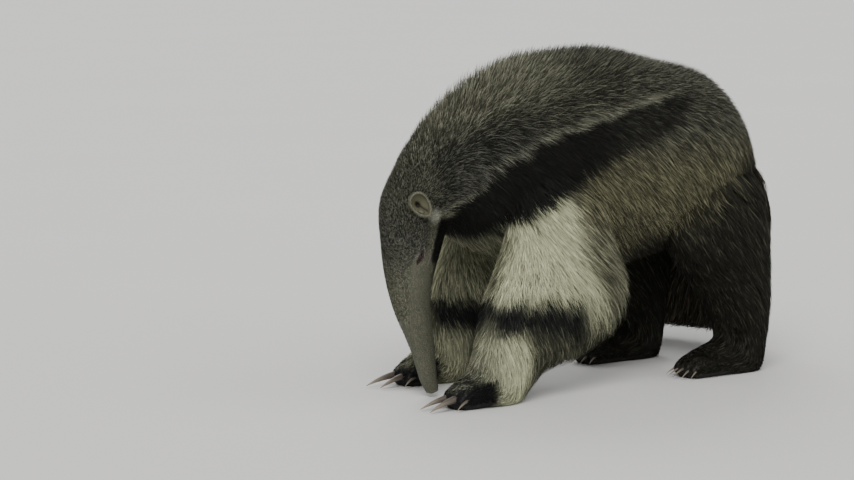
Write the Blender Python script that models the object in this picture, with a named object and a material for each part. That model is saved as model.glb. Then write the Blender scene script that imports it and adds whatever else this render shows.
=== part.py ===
"""A giant anteater feeding with its snout at the ground, life size, in metres.

While it is built the animal faces -X, its left side is at -Y, the forelegs stand near X = 0, the
middle of the body is Y = 0 and the floor is Z = 0. The last step moves all of it so that the origin
is under the middle of its box.
"""
import math
import random
from collections import namedtuple

import bmesh
import bpy
import numpy as np
from mathutils import Matrix, Vector

SEED = 14
GAP = 0.0003
SPINE_SIDES = 16
LEG_SIDES = 12
TAIL_SIDES = 8
HEAD_SIDES = 22
SOLVER = "MANIFOLD"

# How far out through the coat the core, a lock's root and its tip reach.
CORE_SHARE = 0.42
ROOT_SHARE = 0.06
TIP_SHARES = (0.90, 1.06)
LOCK_STEPS = (0.0, 0.38, 0.74, 1.0)
LOCK_WIDTHS = (0.80, 1.0, 0.66)

# Spine rows from snout tip to rump: the point on the back and the point on the underside as (x, z),
# half width, then the coat's depth on the back, the sides and the underside.
SPINE = [
    ((-0.127, 0.008), (-0.119, 0.011), 0.007, 0.000, 0.000, 0.000),
    ((-0.136, 0.011), (-0.114, 0.018), 0.013, 0.001, 0.001, 0.001),
    ((-0.150, 0.035), (-0.118, 0.045), 0.017, 0.001, 0.001, 0.001),
    ((-0.169, 0.089), (-0.125, 0.101), 0.021, 0.001, 0.001, 0.001),
    ((-0.203, 0.161), (-0.135, 0.177), 0.029, 0.002, 0.002, 0.002),
    ((-0.223, 0.228), (-0.131, 0.232), 0.038, 0.003, 0.002, 0.003),
    ((-0.231, 0.297), (-0.116, 0.283), 0.047, 0.004, 0.003, 0.004),
    ((-0.228, 0.372), (-0.106, 0.320), 0.055, 0.008, 0.006, 0.006),
    ((-0.190, 0.430), (-0.093, 0.333), 0.061, 0.016, 0.010, 0.012),
    ((-0.132, 0.476), (-0.080, 0.330), 0.072, 0.044, 0.018, 0.022),
    ((-0.055, 0.520), (-0.045, 0.305), 0.092, 0.084, 0.028, 0.030),
    ((0.050, 0.556), (0.035, 0.278), 0.118, 0.092, 0.032, 0.034),
    ((0.170, 0.583), (0.160, 0.268), 0.134, 0.074, 0.034, 0.050),
    ((0.280, 0.592), (0.280, 0.272), 0.142, 0.064, 0.036, 0.062),
    ((0.400, 0.577), (0.385, 0.284), 0.142, 0.050, 0.038, 0.062),
    ((0.505, 0.549), (0.448, 0.296), 0.132, 0.050, 0.040, 0.050),
    ((0.580, 0.486), (0.500, 0.303), 0.106, 0.042, 0.036, 0.040),
    ((0.622, 0.410), (0.542, 0.300), 0.078, 0.036, 0.034, 0.036),
]
HEAD_END = 8.0
SPINE_END = len(SPINE) - 1.0

# Leg rows from the shoulder or hip down: front point and rear point as (x, z), distance from the
# middle of the body, half width, then the coat's depth in front, outside and behind.
LEFT_FORELEG = [
    ((0.020, 0.460), (0.160, 0.460), 0.080, 0.040, 0.010, 0.010, 0.010),
    ((-0.010, 0.380), (0.180, 0.380), 0.100, 0.050, 0.014, 0.022, 0.024),
    ((-0.018, 0.305), (0.170, 0.290), 0.118, 0.053, 0.014, 0.024, 0.050),
    ((-0.042, 0.245), (0.138, 0.215), 0.127, 0.054, 0.014, 0.022, 0.124),
    ((-0.066, 0.200), (0.078, 0.158), 0.131, 0.049, 0.013, 0.020, 0.166),
    ((-0.088, 0.148), (0.014, 0.108), 0.133, 0.042, 0.012, 0.018, 0.130),
    ((-0.105, 0.104), (-0.020, 0.066), 0.133, 0.038, 0.011, 0.016, 0.060),
    ((-0.130, 0.064), (-0.050, -0.004), 0.133, 0.037, 0.008, 0.009, 0.016),
    ((-0.158, 0.046), (-0.123, -0.006), 0.133, 0.036, 0.006, 0.006, 0.004),
    ((-0.178, 0.034), (-0.165, -0.004), 0.133, 0.030, 0.004, 0.004, 0.002),
    ((-0.187, 0.022), (-0.182, 0.006), 0.133, 0.018, 0.002, 0.002, 0.000),
]
RIGHT_FORELEG = [
    ((0.060, 0.460), (0.200, 0.460), 0.080, 0.040, 0.010, 0.010, 0.010),
    ((0.030, 0.380), (0.215, 0.380), 0.100, 0.050, 0.014, 0.022, 0.024),
    ((0.024, 0.305), (0.205, 0.292), 0.118, 0.053, 0.014, 0.024, 0.030),
    ((0.008, 0.245), (0.168, 0.225), 0.127, 0.054, 0.014, 0.022, 0.036),
    ((-0.006, 0.200), (0.124, 0.168), 0.131, 0.049, 0.013, 0.020, 0.040),
    ((-0.018, 0.148), (0.078, 0.116), 0.133, 0.042, 0.012, 0.018, 0.040),
    ((-0.030, 0.104), (0.054, 0.070), 0.133, 0.038, 0.011, 0.016, 0.030),
    ((-0.054, 0.064), (0.026, -0.004), 0.133, 0.037, 0.008, 0.009, 0.014),
    ((-0.080, 0.046), (-0.046, -0.006), 0.133, 0.036, 0.006, 0.006, 0.004),
    ((-0.100, 0.034), (-0.086, -0.004), 0.133, 0.030, 0.004, 0.004, 0.002),
    ((-0.109, 0.022), (-0.104, 0.006), 0.133, 0.018, 0.002, 0.002, 0.000),
]
HIND_LEG = [
    ((0.400, 0.440), (0.572, 0.440), 0.070, 0.045, 0.010, 0.010, 0.010),
    ((0.378, 0.345), (0.588, 0.345), 0.096, 0.056, 0.024, 0.030, 0.030),
    ((0.385, 0.270), (0.582, 0.250), 0.114, 0.058, 0.024, 0.030, 0.036),
    ((0.428, 0.200), (0.578, 0.178), 0.121, 0.051, 0.022, 0.026, 0.040),
    ((0.472, 0.142), (0.576, 0.124), 0.124, 0.043, 0.020, 0.022, 0.040),
    ((0.496, 0.094), (0.578, 0.070), 0.125, 0.038, 0.014, 0.016, 0.030),
    ((0.490, 0.068), (0.576, 0.000), 0.125, 0.037, 0.008, 0.009, 0.012),
    ((0.456, 0.056), (0.505, -0.006), 0.125, 0.037, 0.006, 0.006, 0.004),
    ((0.424, 0.045), (0.434, -0.006), 0.125, 0.037, 0.005, 0.005, 0.003),
    ((0.402, 0.034), (0.405, -0.003), 0.125, 0.033, 0.004, 0.004, 0.002),
    ((0.392, 0.024), (0.394, 0.006), 0.125, 0.022, 0.002, 0.002, 0.000),
]
RIGHT_HIND_STEP = -0.050
FOOT_START = 5.0
FOOT_STEP = 0.625
FLOOR_CLEAR = 0.004

# Tail rows from inside the rump to past the last bone: centre, half depth, half width, then the
# hair's depth above, at the sides and hanging below.
TAIL = [
    ((0.555, 0.000, 0.385), 0.075, 0.072, 0.020, 0.020, 0.020),
    ((0.604, 0.002, 0.335), 0.060, 0.057, 0.044, 0.036, 0.050),
    ((0.656, 0.018, 0.262), 0.048, 0.045, 0.046, 0.034, 0.085),
    ((0.700, 0.062, 0.200), 0.040, 0.037, 0.052, 0.032, 0.115),
    ((0.728, 0.140, 0.160), 0.033, 0.030, 0.062, 0.032, 0.110),
    ((0.728, 0.255, 0.138), 0.027, 0.024, 0.068, 0.030, 0.098),
    ((0.684, 0.372, 0.126), 0.020, 0.018, 0.070, 0.028, 0.094),
    ((0.606, 0.478, 0.118), 0.014, 0.013, 0.060, 0.026, 0.090),
    ((0.518, 0.556, 0.108), 0.008, 0.007, 0.050, 0.028, 0.088),
    ((0.430, 0.608, 0.090), 0.004, 0.003, 0.032, 0.024, 0.060),
]

Band = namedtuple("Band", "first last count angles lie fall width thick edge_on")

# Lines of long locks on each form: first and last row, how many along the line, the angles that it
# runs at, how many rows on each tip lies, how far down it falls as an angle, width and thickness in
# the middle, and how far the lock is turned to show its flat side from the side of the body.
SPINE_BANDS = [
    Band(8.30, 16.3, 14, (0.0,), 1.10, 0.0, 0.058, 0.013, 0.9),
    Band(8.55, 16.5, 12, (0.46,), 1.05, 0.12, 0.062, 0.012, 0.5),
    Band(8.70, 16.3, 8, (0.98,), 1.20, 0.20, 0.092, 0.011, 0.0),
    Band(9.70, 16.1, 8, (1.50,), 1.05, 0.30, 0.088, 0.010, 0.0),
    Band(10.4, 15.7, 7, (2.04,), 0.90, 0.42, 0.080, 0.010, 0.0),
]
FORE_BANDS = [
    Band(1.6, 5.9, 7, (2.80, -2.80), 0.95, 0.12, 0.058, 0.011, 0.8),
    Band(1.0, 4.6, 3, (1.25,), 0.95, 0.30, 0.070, 0.010, 0.0),
    Band(1.3, 5.0, 3, (1.95,), 0.95, 0.30, 0.066, 0.010, 0.0),
]
HIND_BANDS = [
    Band(1.3, 5.0, 4, (2.80, -2.80), 0.95, 0.12, 0.058, 0.011, 0.8),
    Band(0.8, 4.2, 3, (1.15,), 0.95, 0.20, 0.074, 0.010, 0.0),
    Band(0.9, 4.3, 3, (1.95,), 0.95, 0.30, 0.074, 0.010, 0.0),
]
TAIL_BANDS = [
    Band(0.9, 8.2, 8, (2.85, -2.85), 0.95, 0.10, 0.064, 0.012, 0.0),
    Band(1.1, 8.0, 6, (1.80, -1.80), 1.10, 0.50, 0.066, 0.011, 0.0),
    Band(1.0, 8.1, 6, (0.50, -0.50), 1.30, 0.25, 0.062, 0.011, 0.0),
]

EYE = Vector((-0.184, -0.0368, 0.274))
EYE_RADIUS = 0.0085
LID_RADIUS = 0.0112
LID_OPENING = (0.0042, 0.0075, 0.0092)
LID_OPENING_OUT = 0.0095
LID_TILT = 16
NOSTRIL = Vector((-0.1310, -0.0068, 0.0115))
NOSTRIL_HALF = (0.0046, 0.0022, 0.0034)
NOSTRIL_TURN = 24
# The line between the lips as spine row and angle, from its corner to the middle of the snout tip.
MOUTH = [(2.3, 2.073), (1.7, 2.073), (1.15, 2.073), (0.6, 2.136), (0.15, 2.513)]
MOUTH_RADIUS = 0.0013
EAR = Vector((-0.199, -0.0650, 0.374))
EAR_LONG = Vector((-0.62, -0.10, 0.70))
# The right ear is laid back along the neck, as it doesn't show past the forehead.
RIGHT_EAR_BACK = Vector((0.036, 0.008, -0.002))
EAR_FACING = Vector((-0.42, -0.88, 0.05))
EAR_HALF = (0.0262, 0.0172, 0.0150)
EAR_WALL = 0.0032
EAR_HOLLOW_OUT = 0.0065
EAR_STALK = (0.010, 0.011, 0.008)

# Each material's colour, roughness and metallic value.
LOOKS = {
    "coat": ((0.16, 0.15, 0.14), 0.85, 0.0),
    "head_fur": ((0.25, 0.24, 0.22), 0.85, 0.0),
    "foreleg_fur": ((0.70, 0.68, 0.62), 0.85, 0.0),
    "dark_fur": ((0.05, 0.045, 0.04), 0.85, 0.0),
    "ear_skin": ((0.62, 0.58, 0.50), 0.70, 0.0),
    "eye": ((0.05, 0.02, 0.015), 0.08, 0.0),
    "claw_horn": ((0.20, 0.17, 0.14), 0.45, 0.0),
}

BODY_LOOKS = {"foreleg": "foreleg_fur", "forefoot": "foreleg_fur", "hindleg": "dark_fur",
              "hindfoot": "dark_fur"}

# Each claw: distance from the middle of the toes, length and radius at the root.
FORE_CLAWS = [(-0.026, 0.022, 0.0042), (-0.009, 0.056, 0.0085), (0.010, 0.062, 0.0095),
              (0.027, 0.024, 0.0042)]
HIND_CLAWS = [(-0.026, 0.018, 0.0036), (-0.013, 0.022, 0.0040), (0.0, 0.023, 0.0042),
              (0.013, 0.022, 0.0040), (0.025, 0.018, 0.0036)]
CLAW_RINGS = 5
CLAW_TIP_Z = 0.0042

Leg = namedtuple("Leg", "name side table step bands claws")
LEGS = [
    Leg("fore_left", -1, LEFT_FORELEG, 0.0, FORE_BANDS, FORE_CLAWS),
    Leg("fore_right", 1, RIGHT_FORELEG, 0.0, FORE_BANDS, FORE_CLAWS),
    Leg("hind_left", -1, HIND_LEG, 0.0, HIND_BANDS, HIND_CLAWS),
    Leg("hind_right", 1, HIND_LEG, RIGHT_HIND_STEP, HIND_BANDS, HIND_CLAWS),
]

# The blocks that part the body, as outlines in side view.
NECK_BLOCK = [(-0.30, 0.290), (-0.066, 0.290), (-0.066, 0.80), (-0.30, 0.80)]
TAIL_BLOCK = [(0.640, -0.1), (0.640, 0.32), (0.737, 0.44), (1.20, 0.44), (1.20, -0.1)]
TAIL_END_BLOCK = [(0.30, -0.1), (1.20, -0.1), (1.20, 0.5), (0.30, 0.5)]
FORELEG_BLOCK = [(-0.30, 0.298), (0.10, 0.298), (0.30, 0.192), (0.30, -0.05), (-0.30, -0.05)]
HINDLEG_BLOCK = [(0.301, 0.262), (0.639, 0.262), (0.639, -0.05), (0.301, -0.05)]
HINDFOOT_BLOCK = [(0.25, 0.078), (0.672, 0.078), (0.672, -0.05), (0.25, -0.05)]
LEFT_FOREFOOT_BLOCK = [(-0.40, 0.125), (-0.17, 0.088), (0.12, -0.04), (-0.40, -0.05)]
RIGHT_FOREFOOT_BLOCK = [(-0.40, 0.125), (-0.115, 0.088), (0.175, -0.04), (-0.40, -0.05)]
MOST_OUT = 0.9
TAIL_END_Y = 0.34
TAIL_MIDDLE_Y = 0.10
LEG_INNER_Y = 0.04
LEG_OUTER_Y = 0.40


def material(name):
    """The Principled material of this name, made the first time it is asked for."""
    made = bpy.data.materials.get(name)
    if made is None:
        colour, roughness, metallic = LOOKS[name]
        made = bpy.data.materials.new(name)
        made.use_nodes = True
        shader = made.node_tree.nodes["Principled BSDF"]
        shader.inputs["Base Color"].default_value = (*colour, 1.0)
        shader.inputs["Roughness"].default_value = roughness
        shader.inputs["Metallic"].default_value = metallic
    return made


def add_object(name, mesh, collection):
    made = bpy.data.objects.new(name, mesh)
    collection.objects.link(made)
    return made


def object_from(name, points, faces, collection):
    """A mesh object of these points and faces, all faces turned outwards."""
    mesh = bpy.data.meshes.new(name)
    mesh.from_pydata([tuple(p) for p in points], [], faces)
    shaped = bmesh.new()
    shaped.from_mesh(mesh)
    bmesh.ops.recalc_face_normals(shaped, faces=shaped.faces)
    shaped.to_mesh(mesh)
    shaped.free()
    return add_object(name, mesh, collection)


def read_rows(rows, at):
    """The rows, each a list of numbers, read between them by a smooth curve through them all."""
    rows = np.asarray(rows, float)
    at = np.clip(np.asarray(at, float), 0.0, len(rows) - 1.0)
    low = np.minimum(at.astype(int), len(rows) - 2)
    part = (at - low)[..., None]
    before = rows[np.maximum(low - 1, 0)]
    here = rows[low]
    after = rows[low + 1]
    beyond = rows[np.minimum(low + 2, len(rows) - 1)]
    rise = (after - before) / 2
    fall = (beyond - here) / 2
    return (
        here
        + rise * part
        + (3 * (after - here) - 2 * rise - fall) * part**2
        + (2 * (here - after) + rise + fall) * part**3
    )


def profile_rows(table, side):
    """Rows given by two points in side view, as centre, axis to the first point, and side axis."""
    rows = []
    for first, second, *rest in table:
        out, half, coat = (0.0, *rest[:1], rest[1:]) if len(rest) == 4 else (rest[0], rest[1], rest[2:])
        centre = ((first[0] + second[0]) / 2, side * out, (first[1] + second[1]) / 2)
        axis = ((first[0] - second[0]) / 2, 0.0, (first[1] - second[1]) / 2)
        rows.append([*centre, *axis, 0.0, -half, 0.0, *coat])
    return rows


def leg_rows(leg):
    rows = np.array(profile_rows(leg.table, leg.side))
    rows[:, 0] += leg.step
    return rows


def foot_stations(rows):
    """The rings from the wrist or hock to the toes, for the foot and for what is cut to fit it."""
    return np.arange(FOOT_START, len(rows) - 0.99, FOOT_STEP)


def tail_rows(table):
    """Tail rows as centre, axis upwards and side axis, square to the line that the centres follow."""
    centres = np.array([row[0] for row in table])
    along = np.gradient(centres, axis=0)
    rows = []
    for (centre, deep, wide, *coat), way in zip(table, along):
        way = Vector(way).normalized()
        across = way.cross(Vector((0, 0, 1))).normalized()
        up = across.cross(way)
        rows.append([*centre, *(up * deep), *(across * wide), *coat])
    return rows


def surface(rows, at, angle, share):
    """Points of a body form: at is the row, angle runs round from the first axis, and share is how
    far out through the coat, from 0 on the skin to 1 at the tips."""
    read = read_rows(rows, at)
    centre, axis, side, coat = read[..., 0:3], read[..., 3:6], read[..., 6:9], read[..., 9:12]
    deep = np.linalg.norm(axis, axis=-1, keepdims=True)
    wide = np.linalg.norm(side, axis=-1, keepdims=True)
    first = np.cos(angle)[..., None]
    second = np.sin(angle)[..., None]
    share = np.asarray(share, float)[..., None]
    lean = (1 + first) / 2
    coat_deep = coat[..., 2:3] + (coat[..., 0:1] - coat[..., 2:3]) * lean
    along_axis = axis / deep * (deep + share * coat_deep)
    along_side = side / wide * (wide + share * coat[..., 1:2])
    return centre + along_axis * first + along_side * second


def loft(name, rows, stations, sides, share, collection):
    """A closed form through the rings at these stations, resting on the floor where it reaches it."""
    stations = np.asarray(stations, float)
    angles = np.arange(sides) * 2 * np.pi / sides
    at, angle = np.meshgrid(stations, angles, indexing="ij")
    shares = np.broadcast_to(np.reshape(share, (-1, 1)), at.shape)
    points = surface(rows, at, angle, shares).reshape(-1, 3)
    points[:, 2] = np.maximum(points[:, 2], 0.0)
    faces = [list(range(sides))[::-1]]
    for ring in range(len(stations) - 1):
        for step in range(sides):
            one = ring * sides + step
            two = ring * sides + (step + 1) % sides
            faces.append([one, two, two + sides, one + sides])
    last = (len(stations) - 1) * sides
    faces.append([last + step for step in range(sides)])
    return object_from(name, points, faces, collection)


def prism(name, outline, near, far, grow, collection):
    """A convex block: an outline in side view, run from Y = near to Y = far, then grown all round."""
    shaped = bmesh.new()
    for x, z in outline:
        for y in (near, far):
            shaped.verts.new((x, y, z))
    bmesh.ops.convex_hull(shaped, input=shaped.verts)
    bmesh.ops.dissolve_limit(shaped, angle_limit=0.01, verts=shaped.verts, edges=shaped.edges)
    bmesh.ops.recalc_face_normals(shaped, faces=shaped.faces)
    moves = [(v, v.normal * v.calc_shell_factor() * grow) for v in shaped.verts]
    for v, move in moves:
        v.co += move
    mesh = bpy.data.meshes.new(name)
    shaped.to_mesh(mesh)
    shaped.free()
    return add_object(name, mesh, collection)


def ball(name, place, half, axes, collection, sides=14, rings=9):
    """A closed ellipsoid with these half lengths along three axes."""
    shaped = bmesh.new()
    bmesh.ops.create_uvsphere(shaped, u_segments=sides, v_segments=rings, radius=1.0)
    mesh = bpy.data.meshes.new(name)
    shaped.to_mesh(mesh)
    shaped.free()
    frame = Matrix(axes).transposed().to_4x4() @ Matrix.Diagonal((*half, 1.0))
    mesh.transform(Matrix.Translation(place) @ frame)
    return add_object(name, mesh, collection)


def turned(degrees, axis):
    """Three square axes, turned about one of X, Y and Z."""
    return Matrix.Rotation(math.radians(degrees), 3, axis).transposed()


def tube(name, line, radii, sides, collection):
    """A closed tapered tube along a line of points, with a radius at each."""
    line = np.asarray(line, float)
    along = np.gradient(line, axis=0)
    points = []
    across = None
    for place, way, radius in zip(line, along, radii):
        way = Vector(way).normalized()
        start = Vector((0, 0, 1)) if across is None else across
        across = (start - way * start.dot(way)).normalized()
        up = way.cross(across)
        for step in range(sides):
            angle = 2 * math.pi * step / sides
            points.append(Vector(place) + (across * math.cos(angle) + up * math.sin(angle)) * radius)
    faces = [list(range(sides))[::-1]]
    for ring in range(len(line) - 1):
        for step in range(sides):
            one = ring * sides + step
            two = ring * sides + (step + 1) % sides
            faces.append([one, two, two + sides, one + sides])
    faces.append([(len(line) - 1) * sides + step for step in range(sides)])
    return object_from(name, points, faces, collection)


def apply_modifiers(piece):
    """Gives a piece the mesh that its modifiers make, and removes them."""
    graph = bpy.context.evaluated_depsgraph_get()
    mesh = bpy.data.meshes.new_from_object(piece.evaluated_get(graph))
    piece.modifiers.clear()
    piece.data = mesh


def combine(piece, other, operation):
    """One Boolean of a piece with an object or with all of a collection, applied at once."""
    boolean = piece.modifiers.new(operation.title(), "BOOLEAN")
    boolean.operation = operation
    boolean.solver = SOLVER
    if isinstance(other, bpy.types.Collection):
        boolean.operand_type = "COLLECTION"
        boolean.collection = other
    else:
        boolean.object = other
    apply_modifiers(piece)


def grow_by_gap(piece):
    """Pushes a cutter's surface out, so that what it cuts ends a thin gap away."""
    grow = piece.modifiers.new("Grow", "DISPLACE")
    grow.strength = GAP
    grow.mid_level = 0.0
    apply_modifiers(piece)


def remove_objects(objects):
    for item in list(objects):
        bpy.data.objects.remove(item)


def keep_largest(piece):
    """Leaves only the closed surface that holds the most volume."""
    shaped = bmesh.new()
    shaped.from_mesh(piece.data)
    left = set(shaped.verts)
    shells = []
    while left:
        start = left.pop()
        found = {start}
        wave = [start]
        while wave:
            linked = {edge.other_vert(v) for v in wave for edge in v.link_edges}
            wave = [v for v in linked if v not in found]
            found.update(wave)
        left -= found
        shells.append(found)

    def volume(shell):
        faces = {face for v in shell for face in v.link_faces}
        total = 0.0
        for face in faces:
            corners = [v.co for v in face.verts]
            for one, two in zip(corners[1:], corners[2:]):
                total += corners[0].dot(one.cross(two))
        return total

    best = max(shells, key=volume)
    bmesh.ops.delete(shaped, geom=[v for v in shaped.verts if v not in best], context="VERTS")
    shaped.to_mesh(piece.data)
    shaped.free()


def finish_piece(piece, look):
    piece.data.materials.clear()
    piece.data.materials.append(material(look))
    piece.data.shade_smooth()


def lock(rows, start, end, width, thick, edge_on, twist, collection):
    """A flat tapered lock: rooted on the skin at start, a row and an angle, its tip at end, out at
    the coat's own depth. It has a root, two rings of four points and a tip."""
    middle = np.array([read_rows(rows, start[0] + (end[0] - start[0]) * t)[:3] for t in LOCK_STEPS])
    line = []
    for t in LOCK_STEPS:
        at = start[0] + (end[0] - start[0]) * t
        angle = start[1] + (end[1] - start[1]) * t**1.3
        share = ROOT_SHARE + (end[2] - ROOT_SHARE) * t**0.85
        point = surface(rows, np.array(at), np.array(angle), np.array(share))
        point[2] = max(point[2], FLOOR_CLEAR)
        line.append(point)
    line = np.array(line)
    along = np.gradient(line, axis=0)
    points = []
    for number, scale in enumerate(LOCK_WIDTHS):
        way = Vector(along[number]).normalized()
        out = Vector(line[number] - middle[number]).normalized()
        flank = Vector((0, math.copysign(1.0, out.y or 1.0), 0))
        facing = out * (1 - edge_on) + flank * edge_on
        across = Matrix.Rotation(twist, 3, way) @ way.cross(facing).normalized()
        up = across.cross(way).normalized()
        place = Vector(line[number])
        across *= width / 2 * scale
        up *= thick / 2 * scale
        points += [place + across, place + up, place - across, place - up]
    points.append(Vector(line[3]))
    faces = [[0, 3, 2, 1]]
    for ring in (0, 4):
        for step in range(4):
            one, two = ring + step, ring + (step + 1) % 4
            faces.append([one, two, two + 4, one + 4])
    faces += [[8 + step, 8 + (step + 1) % 4, 12] for step in range(4)]
    for point in points:
        point.z = max(point.z, FLOOR_CLEAR)
    return object_from("lock", points, faces, collection)


def dress(rows, bands, sides_of, chance, collection):
    """Sets every band's locks on a form, staggered from one line to the next and varied in size."""
    for band in bands:
        for angle in band.angles:
            sides = sides_of if angle else (1,)
            for side in sides:
                gap = (band.last - band.first) / band.count
                for number in range(band.count):
                    at = band.first + gap * (number + 0.5 + chance.uniform(-0.22, 0.22))
                    turn = angle + chance.uniform(-0.10, 0.10)
                    fall = math.copysign(band.fall, angle) if angle else chance.uniform(-0.12, 0.12)
                    tip = at + band.lie * chance.uniform(0.85, 1.15)
                    reach = chance.uniform(*TIP_SHARES)
                    size = chance.uniform(0.86, 1.14)
                    lock(rows, (at, side * turn), (tip, side * (turn + fall), reach),
                         band.width * size, band.thick * size, band.edge_on,
                         chance.uniform(-0.25, 0.25), collection)


def clear_scene():
    for item in list(bpy.data.objects):
        bpy.data.objects.remove(item)


def new_collection(name):
    made = bpy.data.collections.new(name)
    bpy.context.scene.collection.children.link(made)
    return made


def part_off(name, whole, outline, near, far, parts, helpers):
    """Takes the stretch of whole that lies in a block as a node of its own, a thin gap away."""
    piece = add_object(name, whole.data.copy(), parts)
    block = prism("block", outline, near, far, 0.0, helpers)
    combine(piece, block, "INTERSECT")
    remove_objects([block])
    keep_largest(piece)
    block = prism("block", outline, near, far, GAP, helpers)
    combine(whole, block, "DIFFERENCE")
    remove_objects([block])
    return piece


def make_body(parts, helpers):
    """Neck, torso, tail and legs as one form, then parted by thin cuts."""
    spine = profile_rows(SPINE, 0)
    chance = random.Random(SEED)
    stations = np.linspace(HEAD_END, SPINE_END, 14)
    shares = np.interp(stations, (HEAD_END, HEAD_END + 1), (1.0, CORE_SHARE))
    whole = loft("torso", spine, stations, SPINE_SIDES, shares, parts)
    joined = new_collection("joined")
    dress(spine, SPINE_BANDS, (1, -1), chance, joined)
    tail = np.array(tail_rows(TAIL))
    loft("tail_form", tail, np.linspace(0, len(TAIL) - 1.5, 13), TAIL_SIDES, CORE_SHARE, joined)
    dress(tail, TAIL_BANDS, (1,), chance, joined)
    for leg in LEGS:
        rows = leg_rows(leg)
        stations = np.concatenate([np.arange(0, FOOT_START, 1.0), foot_stations(rows)])
        shares = np.interp(stations, (5.5, 7), (CORE_SHARE, 1.0))
        loft(leg.name, rows, stations, LEG_SIDES, shares, joined)
        dress(rows, leg.bands, (-leg.side,), chance, joined)
    combine(whole, joined, "UNION")
    remove_objects(joined.objects)
    bpy.data.collections.remove(joined)
    keep_largest(whole)

    part_off("neck", whole, NECK_BLOCK, -MOST_OUT, MOST_OUT, parts, helpers)
    part_off("tail_end", whole, TAIL_END_BLOCK, TAIL_END_Y, MOST_OUT, parts, helpers)
    tail = part_off("tail_base", whole, TAIL_BLOCK, -MOST_OUT, MOST_OUT, parts, helpers)
    part_off("tail_middle", tail, TAIL_END_BLOCK, TAIL_MIDDLE_Y, MOST_OUT, parts, helpers)
    for name, side, block in (("left", -1, LEFT_FOREFOOT_BLOCK), ("right", 1, RIGHT_FOREFOOT_BLOCK)):
        near, far = sorted((side * LEG_INNER_Y, side * LEG_OUTER_Y))
        leg = part_off("foreleg_" + name, whole, FORELEG_BLOCK, near, far, parts, helpers)
        part_off("forefoot_" + name, leg, block, near, far, parts, helpers)
        leg = part_off("hindleg_" + name, whole, HINDLEG_BLOCK, near, far, parts, helpers)
        part_off("hindfoot_" + name, leg, HINDFOOT_BLOCK, near, far, parts, helpers)
    keep_largest(whole)
    for piece in parts.objects:
        finish_piece(piece, BODY_LOOKS.get(piece.name.split("_")[0], "coat"))


def on_side(place, side):
    """A place given on the left side, at -Y, moved to the side asked for."""
    return Vector((place.x, -side * place.y, place.z))


def make_head(parts):
    spine = profile_rows(SPINE, 0)
    last = HEAD_END - 0.006
    stations = np.concatenate([np.arange(0, 2, 0.4), np.arange(2, HEAD_END - 0.2, 0.42), [last]])
    head = loft("head", spine, stations, HEAD_SIDES, 1.0, parts)
    joined = new_collection("joined")
    for side in (-1, 1):
        ball("lid", on_side(EYE, side), (LID_RADIUS,) * 3, turned(0, "Y"), joined)
    combine(head, joined, "UNION")
    remove_objects(joined.objects)
    for side in (-1, 1):
        eye = on_side(EYE, side)
        ball("socket", eye, (EYE_RADIUS + GAP,) * 3, turned(0, "Y"), joined)
        slit = eye + Vector((0, side * LID_OPENING_OUT, 0))
        ball("opening", slit, LID_OPENING, turned(LID_TILT, "Y"), joined)
        nostril_axes = turned(side * NOSTRIL_TURN, "Z")
        ball("nostril", on_side(NOSTRIL, side), NOSTRIL_HALF, nostril_axes, joined, 8, 6)
    line = [surface(spine, np.array(at), np.array(angle), 1.0) for at, angle in MOUTH]
    line += [point * np.array([1, -1, 1]) for point in reversed(line)]
    tube("mouth", line, [MOUTH_RADIUS] * len(line), 6, joined)
    for item in list(joined.objects):
        combine(head, item, "DIFFERENCE")
    remove_objects(joined.objects)
    bpy.data.collections.remove(joined)
    keep_largest(head)
    finish_piece(head, "head_fur")


def make_eyes(parts):
    for name, side in (("left", -1), ("right", 1)):
        eye = ball("eye_" + name, on_side(EYE, side), (EYE_RADIUS,) * 3, turned(90, "X"), parts, 12, 7)
        finish_piece(eye, "eye")


def make_ears(parts, helpers):
    """Each ear is half of a hollow oval on a short stalk that meets the head."""
    spine = profile_rows(SPINE, 0)
    stations = [*np.arange(2, HEAD_END - 0.2, 0.42), HEAD_END - 0.006, HEAD_END + 0.3, HEAD_END + 0.9]
    grown = loft("grown_head", spine, np.array(stations), HEAD_SIDES, 1.0, helpers)
    grow_by_gap(grown)
    for name, side in (("left", -1), ("right", 1)):
        place = on_side(EAR, side) + (RIGHT_EAR_BACK if side > 0 else Vector())
        facing = on_side(EAR_FACING, side).normalized()
        long = on_side(EAR_LONG, side)
        long = (long - facing * long.dot(facing)).normalized()
        axes = (long, facing.cross(long), facing)
        ear = ball("ear_" + name, place, EAR_HALF, axes, parts, 12, 8)
        inside = [half - EAR_WALL for half in EAR_HALF]
        hollow = ball("hollow", place + facing * EAR_HOLLOW_OUT, inside, axes, helpers, 12, 8)
        root = place - long * 0.012 - facing * 0.008
        stalk_line = [root + Vector((0.002, -side * 0.030, 0)), root - facing * 0.004, root]
        stalk = tube("stalk", stalk_line, EAR_STALK, 10, helpers)
        combine(ear, stalk, "UNION")
        combine(ear, hollow, "DIFFERENCE")
        combine(ear, grown, "DIFFERENCE")
        remove_objects([hollow, stalk])
        keep_largest(ear)
        finish_piece(ear, "ear_skin")
    remove_objects([grown])


def claw_line(root, way, length, drop):
    """A claw's centre line: it leaves its toe and curves down."""
    parts = [float(part) for part in np.linspace(0, 1, CLAW_RINGS)]
    return [root + way * length * part + Vector((0, 0, -drop * part * part)) for part in parts]


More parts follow.
